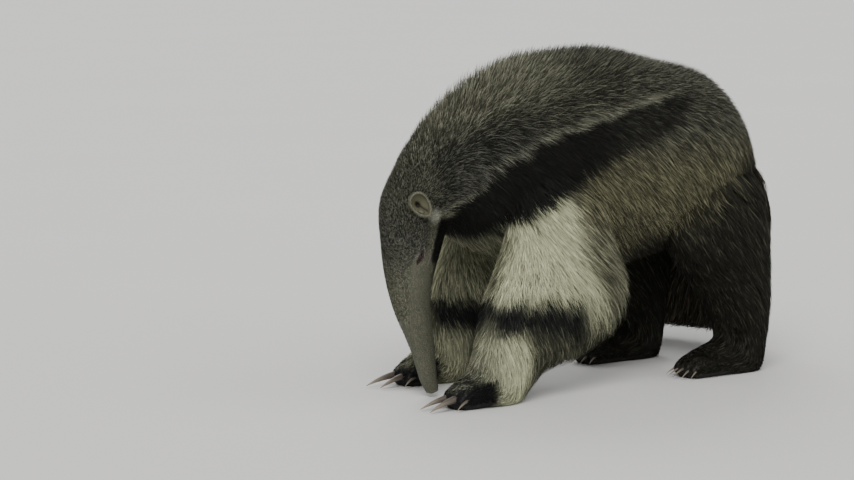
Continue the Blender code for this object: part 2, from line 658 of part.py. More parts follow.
def make_claws(parts, helpers):
    """Each claw is cut 0.3 mm clear of the toe that it grows from."""
    for leg in LEGS:
        rows = leg_rows(leg)
        grown = loft("grown_foot", rows, foot_stations(rows), LEG_SIDES, 1.0, helpers)
        grow_by_gap(grown)
        toe = (Vector(rows[-2][:3]) + Vector(rows[-1][:3])) / 2
        for number, (out, length, radius) in enumerate(leg.claws, 1):
            root = toe + Vector((0.012 + 0.35 * abs(out), leg.side * out, 0.003 + radius * 0.3))
            way = Vector((-1.0, leg.side * out * 12, 0.0)).normalized()
            line = claw_line(root, way, length + 0.02, root.z - CLAW_TIP_Z)
            radii = [radius * (1.0 - 0.9 * part**1.6) for part in np.linspace(0, 1, CLAW_RINGS)]
            claw = tube(f"claw_{leg.name}_{number}", line, radii, 6, parts)
            combine(claw, grown, "DIFFERENCE")
            keep_largest(claw)
            finish_piece(claw, "claw_horn")
        remove_objects([grown])


def stand_on_origin(parts):
    """Moves every node so that the origin is on the floor, under the middle of the whole box."""
    corners = np.array([v.co for piece in parts.objects for v in piece.data.vertices])
    low, high = corners.min(axis=0), corners.max(axis=0)
    move = Vector((-(low[0] + high[0]) / 2, -(low[1] + high[1]) / 2, -low[2]))
    for piece in parts.objects:
        piece.data.transform(Matrix.Translation(move))


def main():
    clear_scene()
    parts = new_collection("giant_anteater")
    helpers = new_collection("cutters")
    make_body(parts, helpers)
    make_head(parts)
    make_eyes(parts)
    make_ears(parts, helpers)
    make_claws(parts, helpers)
    stand_on_origin(parts)
    bpy.data.collections.remove(helpers)


main()
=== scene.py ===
import math
from collections import namedtuple

import bmesh
import bpy
import numpy as np
from mathutils import Matrix, Vector
from mathutils.bvhtree import BVHTree


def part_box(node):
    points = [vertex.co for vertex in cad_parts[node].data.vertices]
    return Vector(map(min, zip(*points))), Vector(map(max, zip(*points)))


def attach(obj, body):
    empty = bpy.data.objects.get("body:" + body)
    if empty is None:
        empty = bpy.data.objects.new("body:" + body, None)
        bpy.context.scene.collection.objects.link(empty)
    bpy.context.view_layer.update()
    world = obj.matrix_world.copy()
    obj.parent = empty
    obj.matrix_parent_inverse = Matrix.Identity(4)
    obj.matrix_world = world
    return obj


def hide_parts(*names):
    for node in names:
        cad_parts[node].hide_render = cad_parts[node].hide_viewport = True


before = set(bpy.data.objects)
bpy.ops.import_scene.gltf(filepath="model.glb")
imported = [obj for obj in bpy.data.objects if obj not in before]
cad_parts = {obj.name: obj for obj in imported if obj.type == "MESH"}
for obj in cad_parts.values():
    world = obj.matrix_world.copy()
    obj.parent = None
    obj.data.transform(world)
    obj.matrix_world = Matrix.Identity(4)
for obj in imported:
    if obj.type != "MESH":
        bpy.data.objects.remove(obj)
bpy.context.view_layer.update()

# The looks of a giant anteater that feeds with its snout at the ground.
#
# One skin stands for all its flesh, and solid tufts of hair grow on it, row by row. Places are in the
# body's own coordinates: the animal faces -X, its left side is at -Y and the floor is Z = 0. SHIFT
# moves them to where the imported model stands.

SEED = 23
# Each side of the body and the sign of its Y.
SIDES = (("left", -1), ("right", 1))

# Spine rows from snout tip to rump: the point on the back and the point on the underside as (x, z),
# half width, then the coat's depth on the back, the sides and the underside.
SPINE = [
    ((-0.127, 0.008), (-0.119, 0.011), 0.007, 0.000, 0.000, 0.000),
    ((-0.136, 0.011), (-0.114, 0.018), 0.013, 0.001, 0.001, 0.001),
    ((-0.150, 0.035), (-0.118, 0.045), 0.017, 0.001, 0.001, 0.001),
    ((-0.169, 0.089), (-0.125, 0.101), 0.021, 0.001, 0.001, 0.001),
    ((-0.203, 0.161), (-0.135, 0.177), 0.029, 0.002, 0.002, 0.002),
    ((-0.223, 0.228), (-0.131, 0.232), 0.038, 0.003, 0.002, 0.003),
    ((-0.231, 0.297), (-0.116, 0.283), 0.047, 0.004, 0.003, 0.004),
    ((-0.228, 0.372), (-0.106, 0.320), 0.055, 0.008, 0.006, 0.006),
    ((-0.190, 0.430), (-0.093, 0.333), 0.061, 0.016, 0.010, 0.012),
    ((-0.132, 0.476), (-0.080, 0.330), 0.072, 0.044, 0.018, 0.022),
    ((-0.055, 0.520), (-0.045, 0.305), 0.092, 0.084, 0.028, 0.030),
    ((0.050, 0.556), (0.035, 0.278), 0.118, 0.092, 0.032, 0.034),
    ((0.170, 0.583), (0.160, 0.268), 0.134, 0.074, 0.034, 0.050),
    ((0.280, 0.592), (0.280, 0.272), 0.142, 0.064, 0.036, 0.062),
    ((0.400, 0.577), (0.385, 0.284), 0.142, 0.050, 0.038, 0.062),
    ((0.505, 0.549), (0.448, 0.296), 0.132, 0.050, 0.040, 0.050),
    ((0.580, 0.486), (0.500, 0.303), 0.106, 0.042, 0.036, 0.040),
    ((0.622, 0.410), (0.542, 0.300), 0.078, 0.036, 0.034, 0.036),
]
HEAD_END = 8.0

# Leg rows from the shoulder or hip down: front point and rear point as (x, z), distance from the
# middle of the body, half width, then the coat's depth in front, outside and behind.
LEFT_FORELEG = [
    ((0.020, 0.460), (0.160, 0.460), 0.080, 0.040, 0.010, 0.010, 0.010),
    ((-0.010, 0.380), (0.180, 0.380), 0.100, 0.050, 0.014, 0.022, 0.024),
    ((-0.018, 0.305), (0.170, 0.290), 0.118, 0.053, 0.014, 0.024, 0.050),
    ((-0.042, 0.245), (0.138, 0.215), 0.127, 0.054, 0.014, 0.022, 0.124),
    ((-0.066, 0.200), (0.078, 0.158), 0.131, 0.049, 0.013, 0.020, 0.166),
    ((-0.088, 0.148), (0.014, 0.108), 0.133, 0.042, 0.012, 0.018, 0.130),
    ((-0.105, 0.104), (-0.020, 0.066), 0.133, 0.038, 0.011, 0.016, 0.060),
    ((-0.130, 0.064), (-0.050, -0.004), 0.133, 0.037, 0.008, 0.009, 0.016),
    ((-0.158, 0.046), (-0.123, -0.006), 0.133, 0.036, 0.006, 0.006, 0.004),
    ((-0.178, 0.034), (-0.165, -0.004), 0.133, 0.030, 0.004, 0.004, 0.002),
    ((-0.187, 0.022), (-0.182, 0.006), 0.133, 0.018, 0.002, 0.002, 0.000),
]
RIGHT_FORELEG = [
    ((0.060, 0.460), (0.200, 0.460), 0.080, 0.040, 0.010, 0.010, 0.010),
    ((0.030, 0.380), (0.215, 0.380), 0.100, 0.050, 0.014, 0.022, 0.024),
    ((0.024, 0.305), (0.205, 0.292), 0.118, 0.053, 0.014, 0.024, 0.030),
    ((0.008, 0.245), (0.168, 0.225), 0.127, 0.054, 0.014, 0.022, 0.036),
    ((-0.006, 0.200), (0.124, 0.168), 0.131, 0.049, 0.013, 0.020, 0.040),
    ((-0.018, 0.148), (0.078, 0.116), 0.133, 0.042, 0.012, 0.018, 0.040),
    ((-0.030, 0.104), (0.054, 0.070), 0.133, 0.038, 0.011, 0.016, 0.030),
    ((-0.054, 0.064), (0.026, -0.004), 0.133, 0.037, 0.008, 0.009, 0.014),
    ((-0.080, 0.046), (-0.046, -0.006), 0.133, 0.036, 0.006, 0.006, 0.004),
    ((-0.100, 0.034), (-0.086, -0.004), 0.133, 0.030, 0.004, 0.004, 0.002),
    ((-0.109, 0.022), (-0.104, 0.006), 0.133, 0.018, 0.002, 0.002, 0.000),
]
HIND_LEG = [
    ((0.400, 0.440), (0.572, 0.440), 0.070, 0.045, 0.010, 0.010, 0.010),
    ((0.378, 0.345), (0.588, 0.345), 0.096, 0.056, 0.024, 0.030, 0.030),
    ((0.385, 0.270), (0.582, 0.250), 0.114, 0.058, 0.024, 0.030, 0.036),
    ((0.428, 0.200), (0.578, 0.178), 0.121, 0.051, 0.022, 0.026, 0.040),
    ((0.472, 0.142), (0.576, 0.124), 0.124, 0.043, 0.020, 0.022, 0.040),
    ((0.496, 0.094), (0.578, 0.070), 0.125, 0.038, 0.014, 0.016, 0.030),
    ((0.490, 0.068), (0.576, 0.000), 0.125, 0.037, 0.008, 0.009, 0.012),
    ((0.456, 0.056), (0.505, -0.006), 0.125, 0.037, 0.006, 0.006, 0.004),
    ((0.424, 0.045), (0.434, -0.006), 0.125, 0.037, 0.005, 0.005, 0.003),
    ((0.402, 0.034), (0.405, -0.003), 0.125, 0.033, 0.004, 0.004, 0.002),
    ((0.392, 0.024), (0.394, 0.006), 0.125, 0.022, 0.002, 0.002, 0.000),
]
RIGHT_HIND_STEP = -0.050

# Tail rows from inside the rump to past the last bone: centre, half depth, half width, then the
# hair's depth above, at the sides and hanging below.
TAIL = [
    ((0.555, 0.000, 0.385), 0.075, 0.072, 0.020, 0.020, 0.020),
    ((0.604, 0.002, 0.335), 0.060, 0.057, 0.044, 0.036, 0.050),
    ((0.656, 0.018, 0.262), 0.048, 0.045, 0.046, 0.034, 0.085),
    ((0.700, 0.062, 0.200), 0.040, 0.037, 0.052, 0.032, 0.115),
    ((0.728, 0.140, 0.160), 0.033, 0.030, 0.062, 0.032, 0.110),
    ((0.728, 0.255, 0.138), 0.027, 0.024, 0.068, 0.030, 0.098),
    ((0.684, 0.372, 0.126), 0.020, 0.018, 0.070, 0.028, 0.094),
    ((0.606, 0.478, 0.118), 0.014, 0.013, 0.060, 0.026, 0.090),
    ((0.518, 0.556, 0.108), 0.008, 0.007, 0.050, 0.028, 0.088),
    ((0.430, 0.608, 0.090), 0.004, 0.003, 0.032, 0.024, 0.060),
]

EYE = Vector((-0.184, -0.0368, 0.274))
EYE_RADIUS = 0.0085
LID_RADIUS = 0.0101
LID_TILT = 22
SLIT_HALF_LONG = 0.0086
SLIT_HALF_WIDE = 0.0038
# The bare dark margin round the slit, which runs on past both its corners.
MARGIN_HALF_LONG = 0.0165
MARGIN_HALF_WIDE = 0.0060
# The folds of the lids: how high each is, how far from the slit's edge, and how wide.
LID_FOLDS = [(-0.0011, 0.0044, 0.0011), (0.0006, 0.0066, 0.0012), (-0.0006, 0.0090, 0.0013)]
# How far round the eye the skin is shaped, how far into the head, and the oval that no hair grows on.
EYE_REACH = 0.030
EYE_DEPTH = 0.012
HAIRLESS_HALF_LONG = 0.0180
HAIRLESS_HALF_WIDE = 0.0105
NOSTRIL = Vector((-0.1310, -0.0068, 0.0115))
NOSTRIL_DEPTH = 0.0032
LIP_DEPTH = 0.0013
# How high the skin stands round a nostril and beside the lips.
RIM_HEIGHT = 0.0006
# The line between the lips as spine row and angle, from its corner to the middle of the snout tip.
MOUTH = [(2.3, 2.073), (1.7, 2.073), (1.15, 2.073), (0.6, 2.136), (0.15, 2.513), (0.0, 3.142)]
EAR = Vector((-0.199, -0.0650, 0.374))
EAR_LONG = Vector((-0.62, -0.10, 0.70))
# The right ear is laid back along the neck.
RIGHT_EAR_BACK = Vector((0.036, 0.008, -0.002))
EAR_FACING = Vector((-0.42, -0.88, 0.05))
EAR_HALF = (0.0262, 0.0172, 0.0130)
EAR_WALL = 0.0026
EAR_STALK = Vector((0.004, 0.020, -0.006))
# Inside the ear, as places along its length and across it: the hollow and the crease that runs from
# the hollow to the edge, both painted dark as shade, and the lobe under them.
EAR_HOLLOW = (0.0026, 0.0036)
EAR_CREASE_END = (-0.0226, -0.0050)
EAR_LOBE = (-0.0115, 0.0090)
FORE_CLAWS = [(-0.026, 0.022, 0.0042), (-0.009, 0.056, 0.0085), (0.010, 0.062, 0.0095),
              (0.027, 0.024, 0.0042)]
HIND_CLAWS = [(-0.026, 0.018, 0.0036), (-0.013, 0.022, 0.0040), (0.0, 0.023, 0.0042),
              (0.013, 0.022, 0.0040), (0.025, 0.018, 0.0036)]
CLAW_TIP_Z = 0.0042
FOOT_HALF_WIDE = 0.036
TOE_HEIGHT = 0.0022

# How finely each form is divided, as rings along it and sides round it.
LIMB_SIDES = 40
EAR_RINGS, EAR_SIDES = 72, 96
CLAW_RINGS, CLAW_SIDES = 18, 16
SEARCH_RINGS, SEARCH_SIDES = 60, 32

# How far out through the coat the skin of the body lies, under the core of the solids.
SKIN_SHARE = 0.34
# How much deeper it lies under the standing mane, whose middle row and spread in rows come next.
CREST_DIP = 0.18
CREST_ROW = 9.6
CREST_SPREAD = 2.0
# How many of its last rows the tail's coat takes to round off.
TAIL_TIP = 1.9
# The last row of the tail's skin, and of the form that keeps other hair out of the tail.
TAIL_SKIN_END = 8.95
TAIL_SEARCH_END = 8.5

# The camera, as in the photo: where it stands, what it looks at, and its lens in millimetres.
CAMERA = Vector((-3.6497, -4.6629, 1.0148))
AIM = Vector((-0.0658, 0.0931, 0.2836))
LENS = 132.79

FLOOR_SIZE = 120.0
WORLD_COLOUR = (0.97, 0.97, 0.97, 1.0)
WORLD_STRENGTH = 0.60
# Each light's name, the place that it shines from, its spread in degrees, strength and colour.
LIGHTS = [
    ("key", (-2.6, -2.8, 3.4), 32.0, 2.30, (1.0, 0.99, 0.97)),
    ("fill", (3.2, -3.0, 1.8), 60.0, 0.55, (0.98, 0.99, 1.0)),
    ("rim", (1.6, 3.4, 3.0), 40.0, 1.10, (1.0, 1.0, 1.0)),
]

low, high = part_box("eye_left")
SHIFT = np.array((low + high) / 2 - EYE)


def read_rows(rows, at):
    """The rows, each a list of numbers, read between them by a smooth curve through them all."""
    rows = np.asarray(rows, float)
    at = np.clip(np.asarray(at, float), 0.0, len(rows) - 1.0)
    low = np.minimum(at.astype(int), len(rows) - 2)
    part = (at - low)[..., None]
    before = rows[np.maximum(low - 1, 0)]
    here = rows[low]
    after = rows[low + 1]
    beyond = rows[np.minimum(low + 2, len(rows) - 1)]
    rise = (after - before) / 2
    fall = (beyond - here) / 2
    return (
        here
        + rise * part
        + (3 * (after - here) - 2 * rise - fall) * part**2
        + (2 * (here - after) + rise + fall) * part**3
    )


def profile_rows(table, side=0, step=0.0):
    """Rows given by two points in side view, as centre, axis to the first point, and side axis. The
    rows of a leg also give its distance from the middle of the body."""
    rows = []
    for first, second, *out, half, front, outside, behind in table:
        centre = ((first[0] + second[0]) / 2 + step, side * sum(out), (first[1] + second[1]) / 2)
        axis = ((first[0] - second[0]) / 2, 0.0, (first[1] - second[1]) / 2)
        rows.append([*centre, *axis, 0.0, -half, 0.0, front, outside, behind])
    return np.array(rows)


def tail_rows(table):
    """Tail rows as centre, axis upwards and side axis, square to the line that the centres follow."""
    centres = np.array([row[0] for row in table])
    along = np.gradient(centres, axis=0)
    rows = []
    for (centre, deep, wide, *coat), way in zip(table, along):
        way = Vector(way).normalized()
        across = way.cross(Vector((0, 0, 1))).normalized()
        up = across.cross(way)
        rows.append([*centre, *(up * deep), *(across * wide), *coat])
    return np.array(rows)


def surface(rows, at, angle, share):
    """Points of a body form: at is the row, angle runs round from the first axis, and share is how
    far out through the coat, from 0 on the skin to 1 at the tips."""
    read = read_rows(rows, at)
    centre, axis, side, coat = read[..., 0:3], read[..., 3:6], read[..., 6:9], read[..., 9:12]
    deep = np.linalg.norm(axis, axis=-1, keepdims=True)
    wide = np.linalg.norm(side, axis=-1, keepdims=True)
    first = np.cos(angle)[..., None]
    second = np.sin(angle)[..., None]
    share = np.asarray(share, float)[..., None]
    lean = (1 + first) / 2
    coat_deep = coat[..., 2:3] + (coat[..., 0:1] - coat[..., 2:3]) * lean
    along_axis = axis / deep * (deep + share * coat_deep)
    along_side = side / wide * (wide + share * coat[..., 1:2])
    return centre + along_axis * first + along_side * second


def unit(vectors):
    return vectors / np.maximum(np.linalg.norm(vectors, axis=-1, keepdims=True), 1e-9)


def smooth(value, start, end):
    """0 at start and 1 at end, eased at both."""
    part = np.clip((value - start) / (end - start), 0, 1)
    return part * part * (3 - 2 * part)


SPINE_ROWS = profile_rows(SPINE)
TAIL_ROWS = tail_rows(TAIL)
FORE_ROWS = {-1: profile_rows(LEFT_FORELEG, -1), 1: profile_rows(RIGHT_FORELEG, 1)}
HIND_ROWS = {-1: profile_rows(HIND_LEG, -1), 1: profile_rows(HIND_LEG, 1, RIGHT_HIND_STEP)}


def ridge(value, middle, width):
    """1 at the middle, falling away to 0 on both sides of it."""
    return np.exp(-(((value - middle) / width) ** 2))


def crest_amount(at, angle):
    """How much of the standing mane grows here, along the top of the neck and shoulders."""
    return ridge(at, CREST_ROW, CREST_SPREAD) * smooth(np.cos(angle), 0.40, 0.95)


def spine_share(at, angle):
    """The head's skin is bare of its short fur, and the body's lies under the core, deeper where the
    mane stands."""
    return smooth(at, 6.6, 9.0) * (SKIN_SHARE - CREST_DIP * crest_amount(at, angle))


def leg_share(at, angle):
    return (1 - smooth(at, 5.0, 7.0)) * SKIN_SHARE


def tail_tip(at):
    """How full the tail's coat is: 1 along it, rounding off to 0 at its end."""
    last = len(TAIL) - 1.0
    return np.sqrt(1 - np.clip((at - last + TAIL_TIP) / TAIL_TIP, 0, 1) ** 2)


def tail_share(at, angle):
    return SKIN_SHARE * tail_tip(at)


def turns(sides):
    """Angles spread evenly round a form."""
    return np.arange(sides) * 2 * np.pi / sides


def form_grid(rows, share, stations, sides):
    """A grid of points on a form, and the row of each."""
    at, angle = np.meshgrid(stations, turns(sides), indexing="ij")
    return surface(rows, at, angle, share(at, angle)), at


# Markings. Each look has a hair's colour at the root, at the tip and at a pale tip, and the share
# of hairs with pale tips.
# The root colours are darker than the tips, partly the hairs' own colour and partly painted shade deep in the
# coat.
Look = namedtuple("Look", "root tip pale salt")
LOOKS = {
    "back": Look((0.0100, 0.0101, 0.0074), (0.032, 0.032, 0.024), (0.240, 0.242, 0.178), 0.28),
    # The neck's look is darker partly as painted shade, for the shade that the neck lies in.
    "neck": Look((0.0080, 0.0082, 0.0066), (0.0230, 0.0235, 0.0190), (0.210, 0.214, 0.174), 0.24),
    # The nape's look is lighter as painted light, making up for the shade that its standing hair falls into.
    "nape": Look((0.0150, 0.0153, 0.0120), (0.056, 0.057, 0.045), (0.400, 0.408, 0.310), 0.32),
    # The mane's look is its pale grizzle, made lighter still by painted light for the sun on it.
    "mane": Look((0.026, 0.026, 0.019), (0.090, 0.091, 0.065), (0.400, 0.404, 0.288), 0.40),
    "flank": Look((0.0140, 0.0136, 0.0081), (0.052, 0.050, 0.030), (0.330, 0.320, 0.191), 0.33),
    "dark": Look((0.0050, 0.0047, 0.0033), (0.0120, 0.0114, 0.0079), (0.070, 0.067, 0.046), 0.12),
    "stripe": Look((0.0030, 0.0030, 0.0026), (0.0080, 0.0080, 0.0070), (0.032, 0.032, 0.028), 0.05),
    "edge": Look((0.070, 0.071, 0.053), (0.240, 0.245, 0.182), (0.500, 0.510, 0.380), 0.42),
    "tuft": Look((0.220, 0.224, 0.180), (0.450, 0.459, 0.380), (0.700, 0.714, 0.600), 0.50),
    "cream": Look((0.190, 0.195, 0.128), (0.500, 0.515, 0.342), (0.730, 0.752, 0.500), 0.50),
    # The grey shade look: the foreleg's grey fringe and cuff, and painted shade on the inner side of the
    # forelegs and under the chest.
    "shade": Look((0.030, 0.030, 0.020), (0.090, 0.091, 0.061), (0.360, 0.364, 0.245), 0.36),
    "band": Look((0.0040, 0.0040, 0.0042), (0.0090, 0.0090, 0.0094), (0.050, 0.050, 0.052), 0.06),
    "face": Look((0.0130, 0.0133, 0.0107), (0.036, 0.037, 0.030), (0.400, 0.408, 0.328), 0.29),
    "brow": Look((0.046, 0.047, 0.034), (0.105, 0.107, 0.077), (0.450, 0.460, 0.325), 0.38),
    "cheek": Look((0.056, 0.057, 0.040), (0.118, 0.119, 0.085), (0.170, 0.172, 0.122), 0.35),
    "lid": Look((0.070, 0.059, 0.049), (0.100, 0.084, 0.070), (0.130, 0.109, 0.091), 0.20),
    "tail": Look((0.0110, 0.0097, 0.0068), (0.038, 0.033, 0.024), (0.180, 0.158, 0.112), 0.26),
}

# The black stripe in side view: the height of its upper and lower edge at each X.
STRIPE_X = (-0.170, -0.149, -0.112, -0.071, -0.039, 0.030, 0.100, 0.149, 0.204, 0.265, 0.342, 0.440)
STRIPE_TOP = (0.322, 0.344, 0.368, 0.408, 0.437, 0.474, 0.492, 0.506, 0.520, 0.533, 0.548, 0.560)
STRIPE_LOW = (0.240, 0.235, 0.250, 0.296, 0.322, 0.362, 0.392, 0.424, 0.450, 0.467, 0.500, 0.560)
# Where the cream of the shoulder and foreleg ends behind, as the X at each height.
CREAM_Z = (0.10, 0.138, 0.200, 0.260, 0.319, 0.374, 0.450)
CREAM_X = (0.200, 0.175, 0.150, 0.115, 0.095, 0.080, 0.080)
# Where black is painted on the rear of the head behind the cheek, as the X at each height: the throat's black
# fur beyond the head, and partly painted shadow behind it.
BLACK_Z = (0.250, 0.270, 0.304, 0.344)
BLACK_X = (-0.150, -0.157, -0.154, -0.149)
# Where the smooth side of the snout begins behind the grizzled forehead, as the X at each height.
CHEEK_Z = (0.000, 0.090, 0.120, 0.193, 0.255, 0.290)
CHEEK_X = (-0.165, -0.180, -0.184, -0.201, -0.205, -0.188)


def paint(base, look, amount):
    """Blends one look over the colours so far."""
    for number, colour in enumerate(LOOKS[look][:3]):
        base[:, number] += (np.array(colour) - base[:, number]) * amount[:, None]
    base[:, 3] += (LOOKS[look].salt - base[:, 3]) * amount[:, None]


def waver(place, size):
    """A soft uneven value from -1 to 1 that breaks up the edges of markings."""
    x, y, z = (place / size).T
    return (np.sin(x + 1.7 * np.sin(y * 0.8 + z)) + np.sin(1.3 * z + 2.1 * np.sin(x * 0.7))
            + np.sin(2.3 * x - 1.9 * z + y)) / 3


def markings(place, form):
    """The looks at these places, as four rows of three: root, tip, pale tip and the pale share.
    The same call colours the skin and the coat."""
    x, y, z = place.T
    base = np.zeros((len(place), 4, 3))
    everywhere = np.ones(len(place))
    paint(base, "tail" if form == "tail" else "back", everywhere)
    if form == "tail":
        return base
    ragged = waver(place, 0.012) * 0.005 + waver(place, 0.004) * 0.003
    # Painted shade, in part: the neck is painted darker.
    paint(base, "neck", smooth(x, 0.12, -0.04))
    # Painted light: the nape is painted lighter, making up for the shade on its standing hair.
    paint(base, "nape", smooth(x + ragged * 3, -0.138, -0.172))
    # Partly painted light: the mane's grizzle is painted lighter for the sun on it.
    paint(base, "mane", smooth(z - 0.35 * x, 0.500, 0.565) * smooth(x, 0.22, 0.05))
    paint(base, "flank", smooth(z, 0.500, 0.400) * smooth(x, 0.00, 0.12))
    behind = smooth(x - 1.5 * (z - 0.28) + ragged * 5, 0.26, 0.42)
    below = smooth(z + ragged * 3, 0.335, 0.250) * smooth(x, 0.20, 0.34)
    paint(base, "dark", np.maximum(below, behind * 0.95))
    if form == "hind":
        return base
    foot = np.interp(x, STRIPE_X, STRIPE_LOW) + ragged
    paint_shoulder(base, place, foot, ragged)
    if form == "fore":
        paint_foreleg(base, place, ragged)
    else:
        chest = smooth(np.abs(y), 0.100, 0.082) * smooth(x, 0.060, 0.035)
        chest *= smooth(z, foot + 0.006, foot - 0.006)
        # Painted shade: under the chest, the dim grey of the far foreleg's fur in shade.
        under = smooth(z + ragged, 0.314, 0.300)
        paint(base, "stripe", chest * (1 - under))
        paint(base, "shade", chest * under * 0.9)
    if form in ("head", "spine", "skin"):
        paint_head(base, place)
    return base


def paint_shoulder(base, place, foot, ragged):
    """The black stripe with its pale upper edge, and the cream below it."""
    x, y, z = place.T
    top = np.interp(x, STRIPE_X, STRIPE_TOP) + ragged
    cream = smooth(z, foot + 0.006, foot - 0.012) * smooth(x, -0.16, -0.05)
    paint(base, "cream", cream * smooth(x - np.interp(z, CREAM_Z, CREAM_X) + ragged * 3, 0.035, -0.030))
    near_ear = smooth(x, -0.105, -0.140)
    above = ridge(z - top, 0.006 + 0.004 * near_ear, 0.0045 + 0.0045 * near_ear) * smooth(x, 0.40, 0.30)
    paint(base, "edge", above * smooth(x, -0.160, -0.125) * (0.50 + 0.25 * near_ear))
    inside = smooth(z, top + 0.004, top - 0.005) * smooth(z, foot - 0.010, foot + 0.008)
    inside *= 1 - 0.30 * smooth(x, 0.12, 0.25)
    paint(base, "stripe", inside * smooth(x, 0.440, 0.360) * smooth(x, -0.172, -0.160))


def paint_foreleg(base, place, ragged):
    """A grey inner side, partly its own colour and partly painted shade, a grey fringe, a black band above
    the wrist, a cream cuff and black toes.
    """
    x, y, z = place.T
    forward = x - np.where(y > 0, 0.067, 0.0)
    lower = np.where(y > 0, 0.026, 0.0)
    # Partly painted shade: the inner side of each foreleg is painted grey, for the shade that the far foreleg
    # lies in.
    paint(base, "shade", smooth(np.abs(y), 0.140, 0.112) * smooth(z, 0.34, 0.28) * 0.70)
    fringe = smooth(forward - np.interp(z, CREAM_Z, CREAM_X), -0.045, 0.015) * smooth(z, 0.345, 0.290)
    cuff = smooth(forward + ragged * 2, -0.046, -0.016) * smooth(z + ragged, 0.150, 0.125)
    paint(base, "shade", np.maximum(fringe * 0.85, cuff))
    paint(base, "dark", cuff * 0.45)
    wrist = 0.161 - 0.06 * (forward + 0.06) + ragged * 1.4 - lower
    band = np.exp(-(((z - wrist) / 0.034) ** 4)) * (1 - 0.6 * smooth(forward, -0.086, -0.104))
    paint(base, "band", band * (1 - 0.85 * smooth(forward, 0.075, 0.130)))
    toes = smooth(z - 0.25 * (forward + 0.14), 0.052 + ragged, 0.038 + ragged)
    paint(base, "band", toes * smooth(forward, -0.090, -0.112))


def cheek_amount(place):
    """Where the snout is smooth: its sides from the eye down, and all round towards the tip."""
    x, y, z = place.T
    side = smooth(x - np.interp(z, CHEEK_Z, CHEEK_X), -0.006, 0.007) * smooth(z, 0.292, 0.262)
    side *= smooth(x - 0.9 * np.maximum(0.23 - z, 0), -0.148, -0.162)
    return np.maximum(side, smooth(z, 0.178, 0.138))


def lid_amount(place):
    """The bare skin behind the eye."""
    x, y, z = place.T
    return ridge(x, EYE.x + 0.0190, 0.0070) * ridge(z, EYE.z + 0.001, 0.0130)


def paint_head(base, place):
    """Grizzled down the forehead and round the ears, smooth and taupe down the sides of the snout."""
    x, y, z = place.T
    on_head = smooth(x - 0.30 * (z - 0.30), -0.118, -0.140)
    paint(base, "face", on_head * smooth(z, 0.400, 0.330) * smooth(base[:, 1, 0], 0.22, 0.13))
    temple = smooth(x, -0.182, -0.155) * smooth(z, 0.365, 0.345)
    paint(base, "brow", on_head * np.maximum(smooth(z, 0.300, 0.190), temple))
    paint(base, "cheek", smooth(x, -0.100, -0.112) * smooth(z, 0.30, 0.28) * cheek_amount(place))
    paint(base, "lid", lid_amount(place) * 0.60)
    # Black on the rear of the head: the throat's black fur beyond it, and partly painted shadow behind the
    # head.
    behind = x - np.interp(z, BLACK_Z, BLACK_X)
    throat = smooth(behind, -0.004, 0.004) * smooth(x, -0.100, -0.115)
    paint(base, "stripe", throat * smooth(z, 0.252, 0.266) * smooth(z, 0.350, 0.338))
    behind_ear = np.linalg.norm((place - (-0.161, 0, 0.350)) * (1, 0, 0.9), axis=1)
    paint(base, "tuft", 0.85 * smooth(behind_ear, 0.018, 0.005) * smooth(np.abs(y), 0.030, 0.045))


def node_math(tree, kind, *values):
    """A Math node on sockets or numbers."""
    node = tree.nodes.new("ShaderNodeMath")
    node.operation = kind
    for number, value in enumerate(values):
        if isinstance(value, (int, float)):
            node.inputs[number].default_value = value
        else:
            tree.links.new(value, node.inputs[number])
    return node.outputs[0]


def attribute(tree, name, output="Fac"):
    node = tree.nodes.new("ShaderNodeAttribute")
    node.attribute_name = name
    return node.outputs[output]


def noise(tree, scale, detail=3.0, stretch=None):
    """A noise texture in the object's own coordinates, drawn out along an axis if asked."""
    place = tree.nodes.new("ShaderNodeTexCoord").outputs["Object"]
    if stretch:
        mapping = tree.nodes.new("ShaderNodeMapping")
        mapping.inputs["Scale"].default_value = stretch
        tree.links.new(place, mapping.inputs["Vector"])
        place = mapping.outputs["Vector"]
    node = tree.nodes.new("ShaderNodeTexNoise")
    node.inputs["Scale"].default_value = scale
    node.inputs["Detail"].default_value = detail
    tree.links.new(place, node.inputs["Vector"])
    return node.outputs["Fac"]


def ramp(tree, value, stops):
    """A colour ramp from (position, colour) stops."""
    node = tree.nodes.new("ShaderNodeValToRGB")
    elements = node.color_ramp.elements
    while len(elements) < len(stops):
        elements.new(0.5)
    for element, (position, colour) in zip(elements, stops):
        element.position = position
        element.color = (*colour, 1.0)
    tree.links.new(value, node.inputs["Fac"])
    return node.outputs["Color"]


def mix(tree, kind, amount, first, second):
    """A colour Mix node. Each of amount, first and second is a socket or a value."""
    node = tree.nodes.new("ShaderNodeMix")
    node.data_type = "RGBA"
    node.blend_type = kind
    for name, value in (("Factor", amount), ("A", first), ("B", second)):
        socket = next(s for s in node.inputs if s.name == name and s.enabled)
        if isinstance(value, bpy.types.NodeSocket):
            tree.links.new(value, socket)
        else:
            socket.default_value = value
    return next(s for s in node.outputs if s.enabled)


def new_material(name, **values):
    """A Principled material and its node tree, with these plain values set on the shader."""
    made = bpy.data.materials.new(name)
    made.use_nodes = True
    shader = made.node_tree.nodes["Principled BSDF"]
    for key, value in values.items():
        shader.inputs[key.replace("_", " ")].default_value = value
    return made, made.node_tree, shader


def add_bump(tree, shader, height, strength, distance):
    node = tree.nodes.new("ShaderNodeBump")
    node.inputs["Strength"].default_value = strength
    node.inputs["Distance"].default_value = distance
    tree.links.new(height, node.inputs["Height"])
    tree.links.new(node.outputs["Normal"], shader.inputs["Normal"])


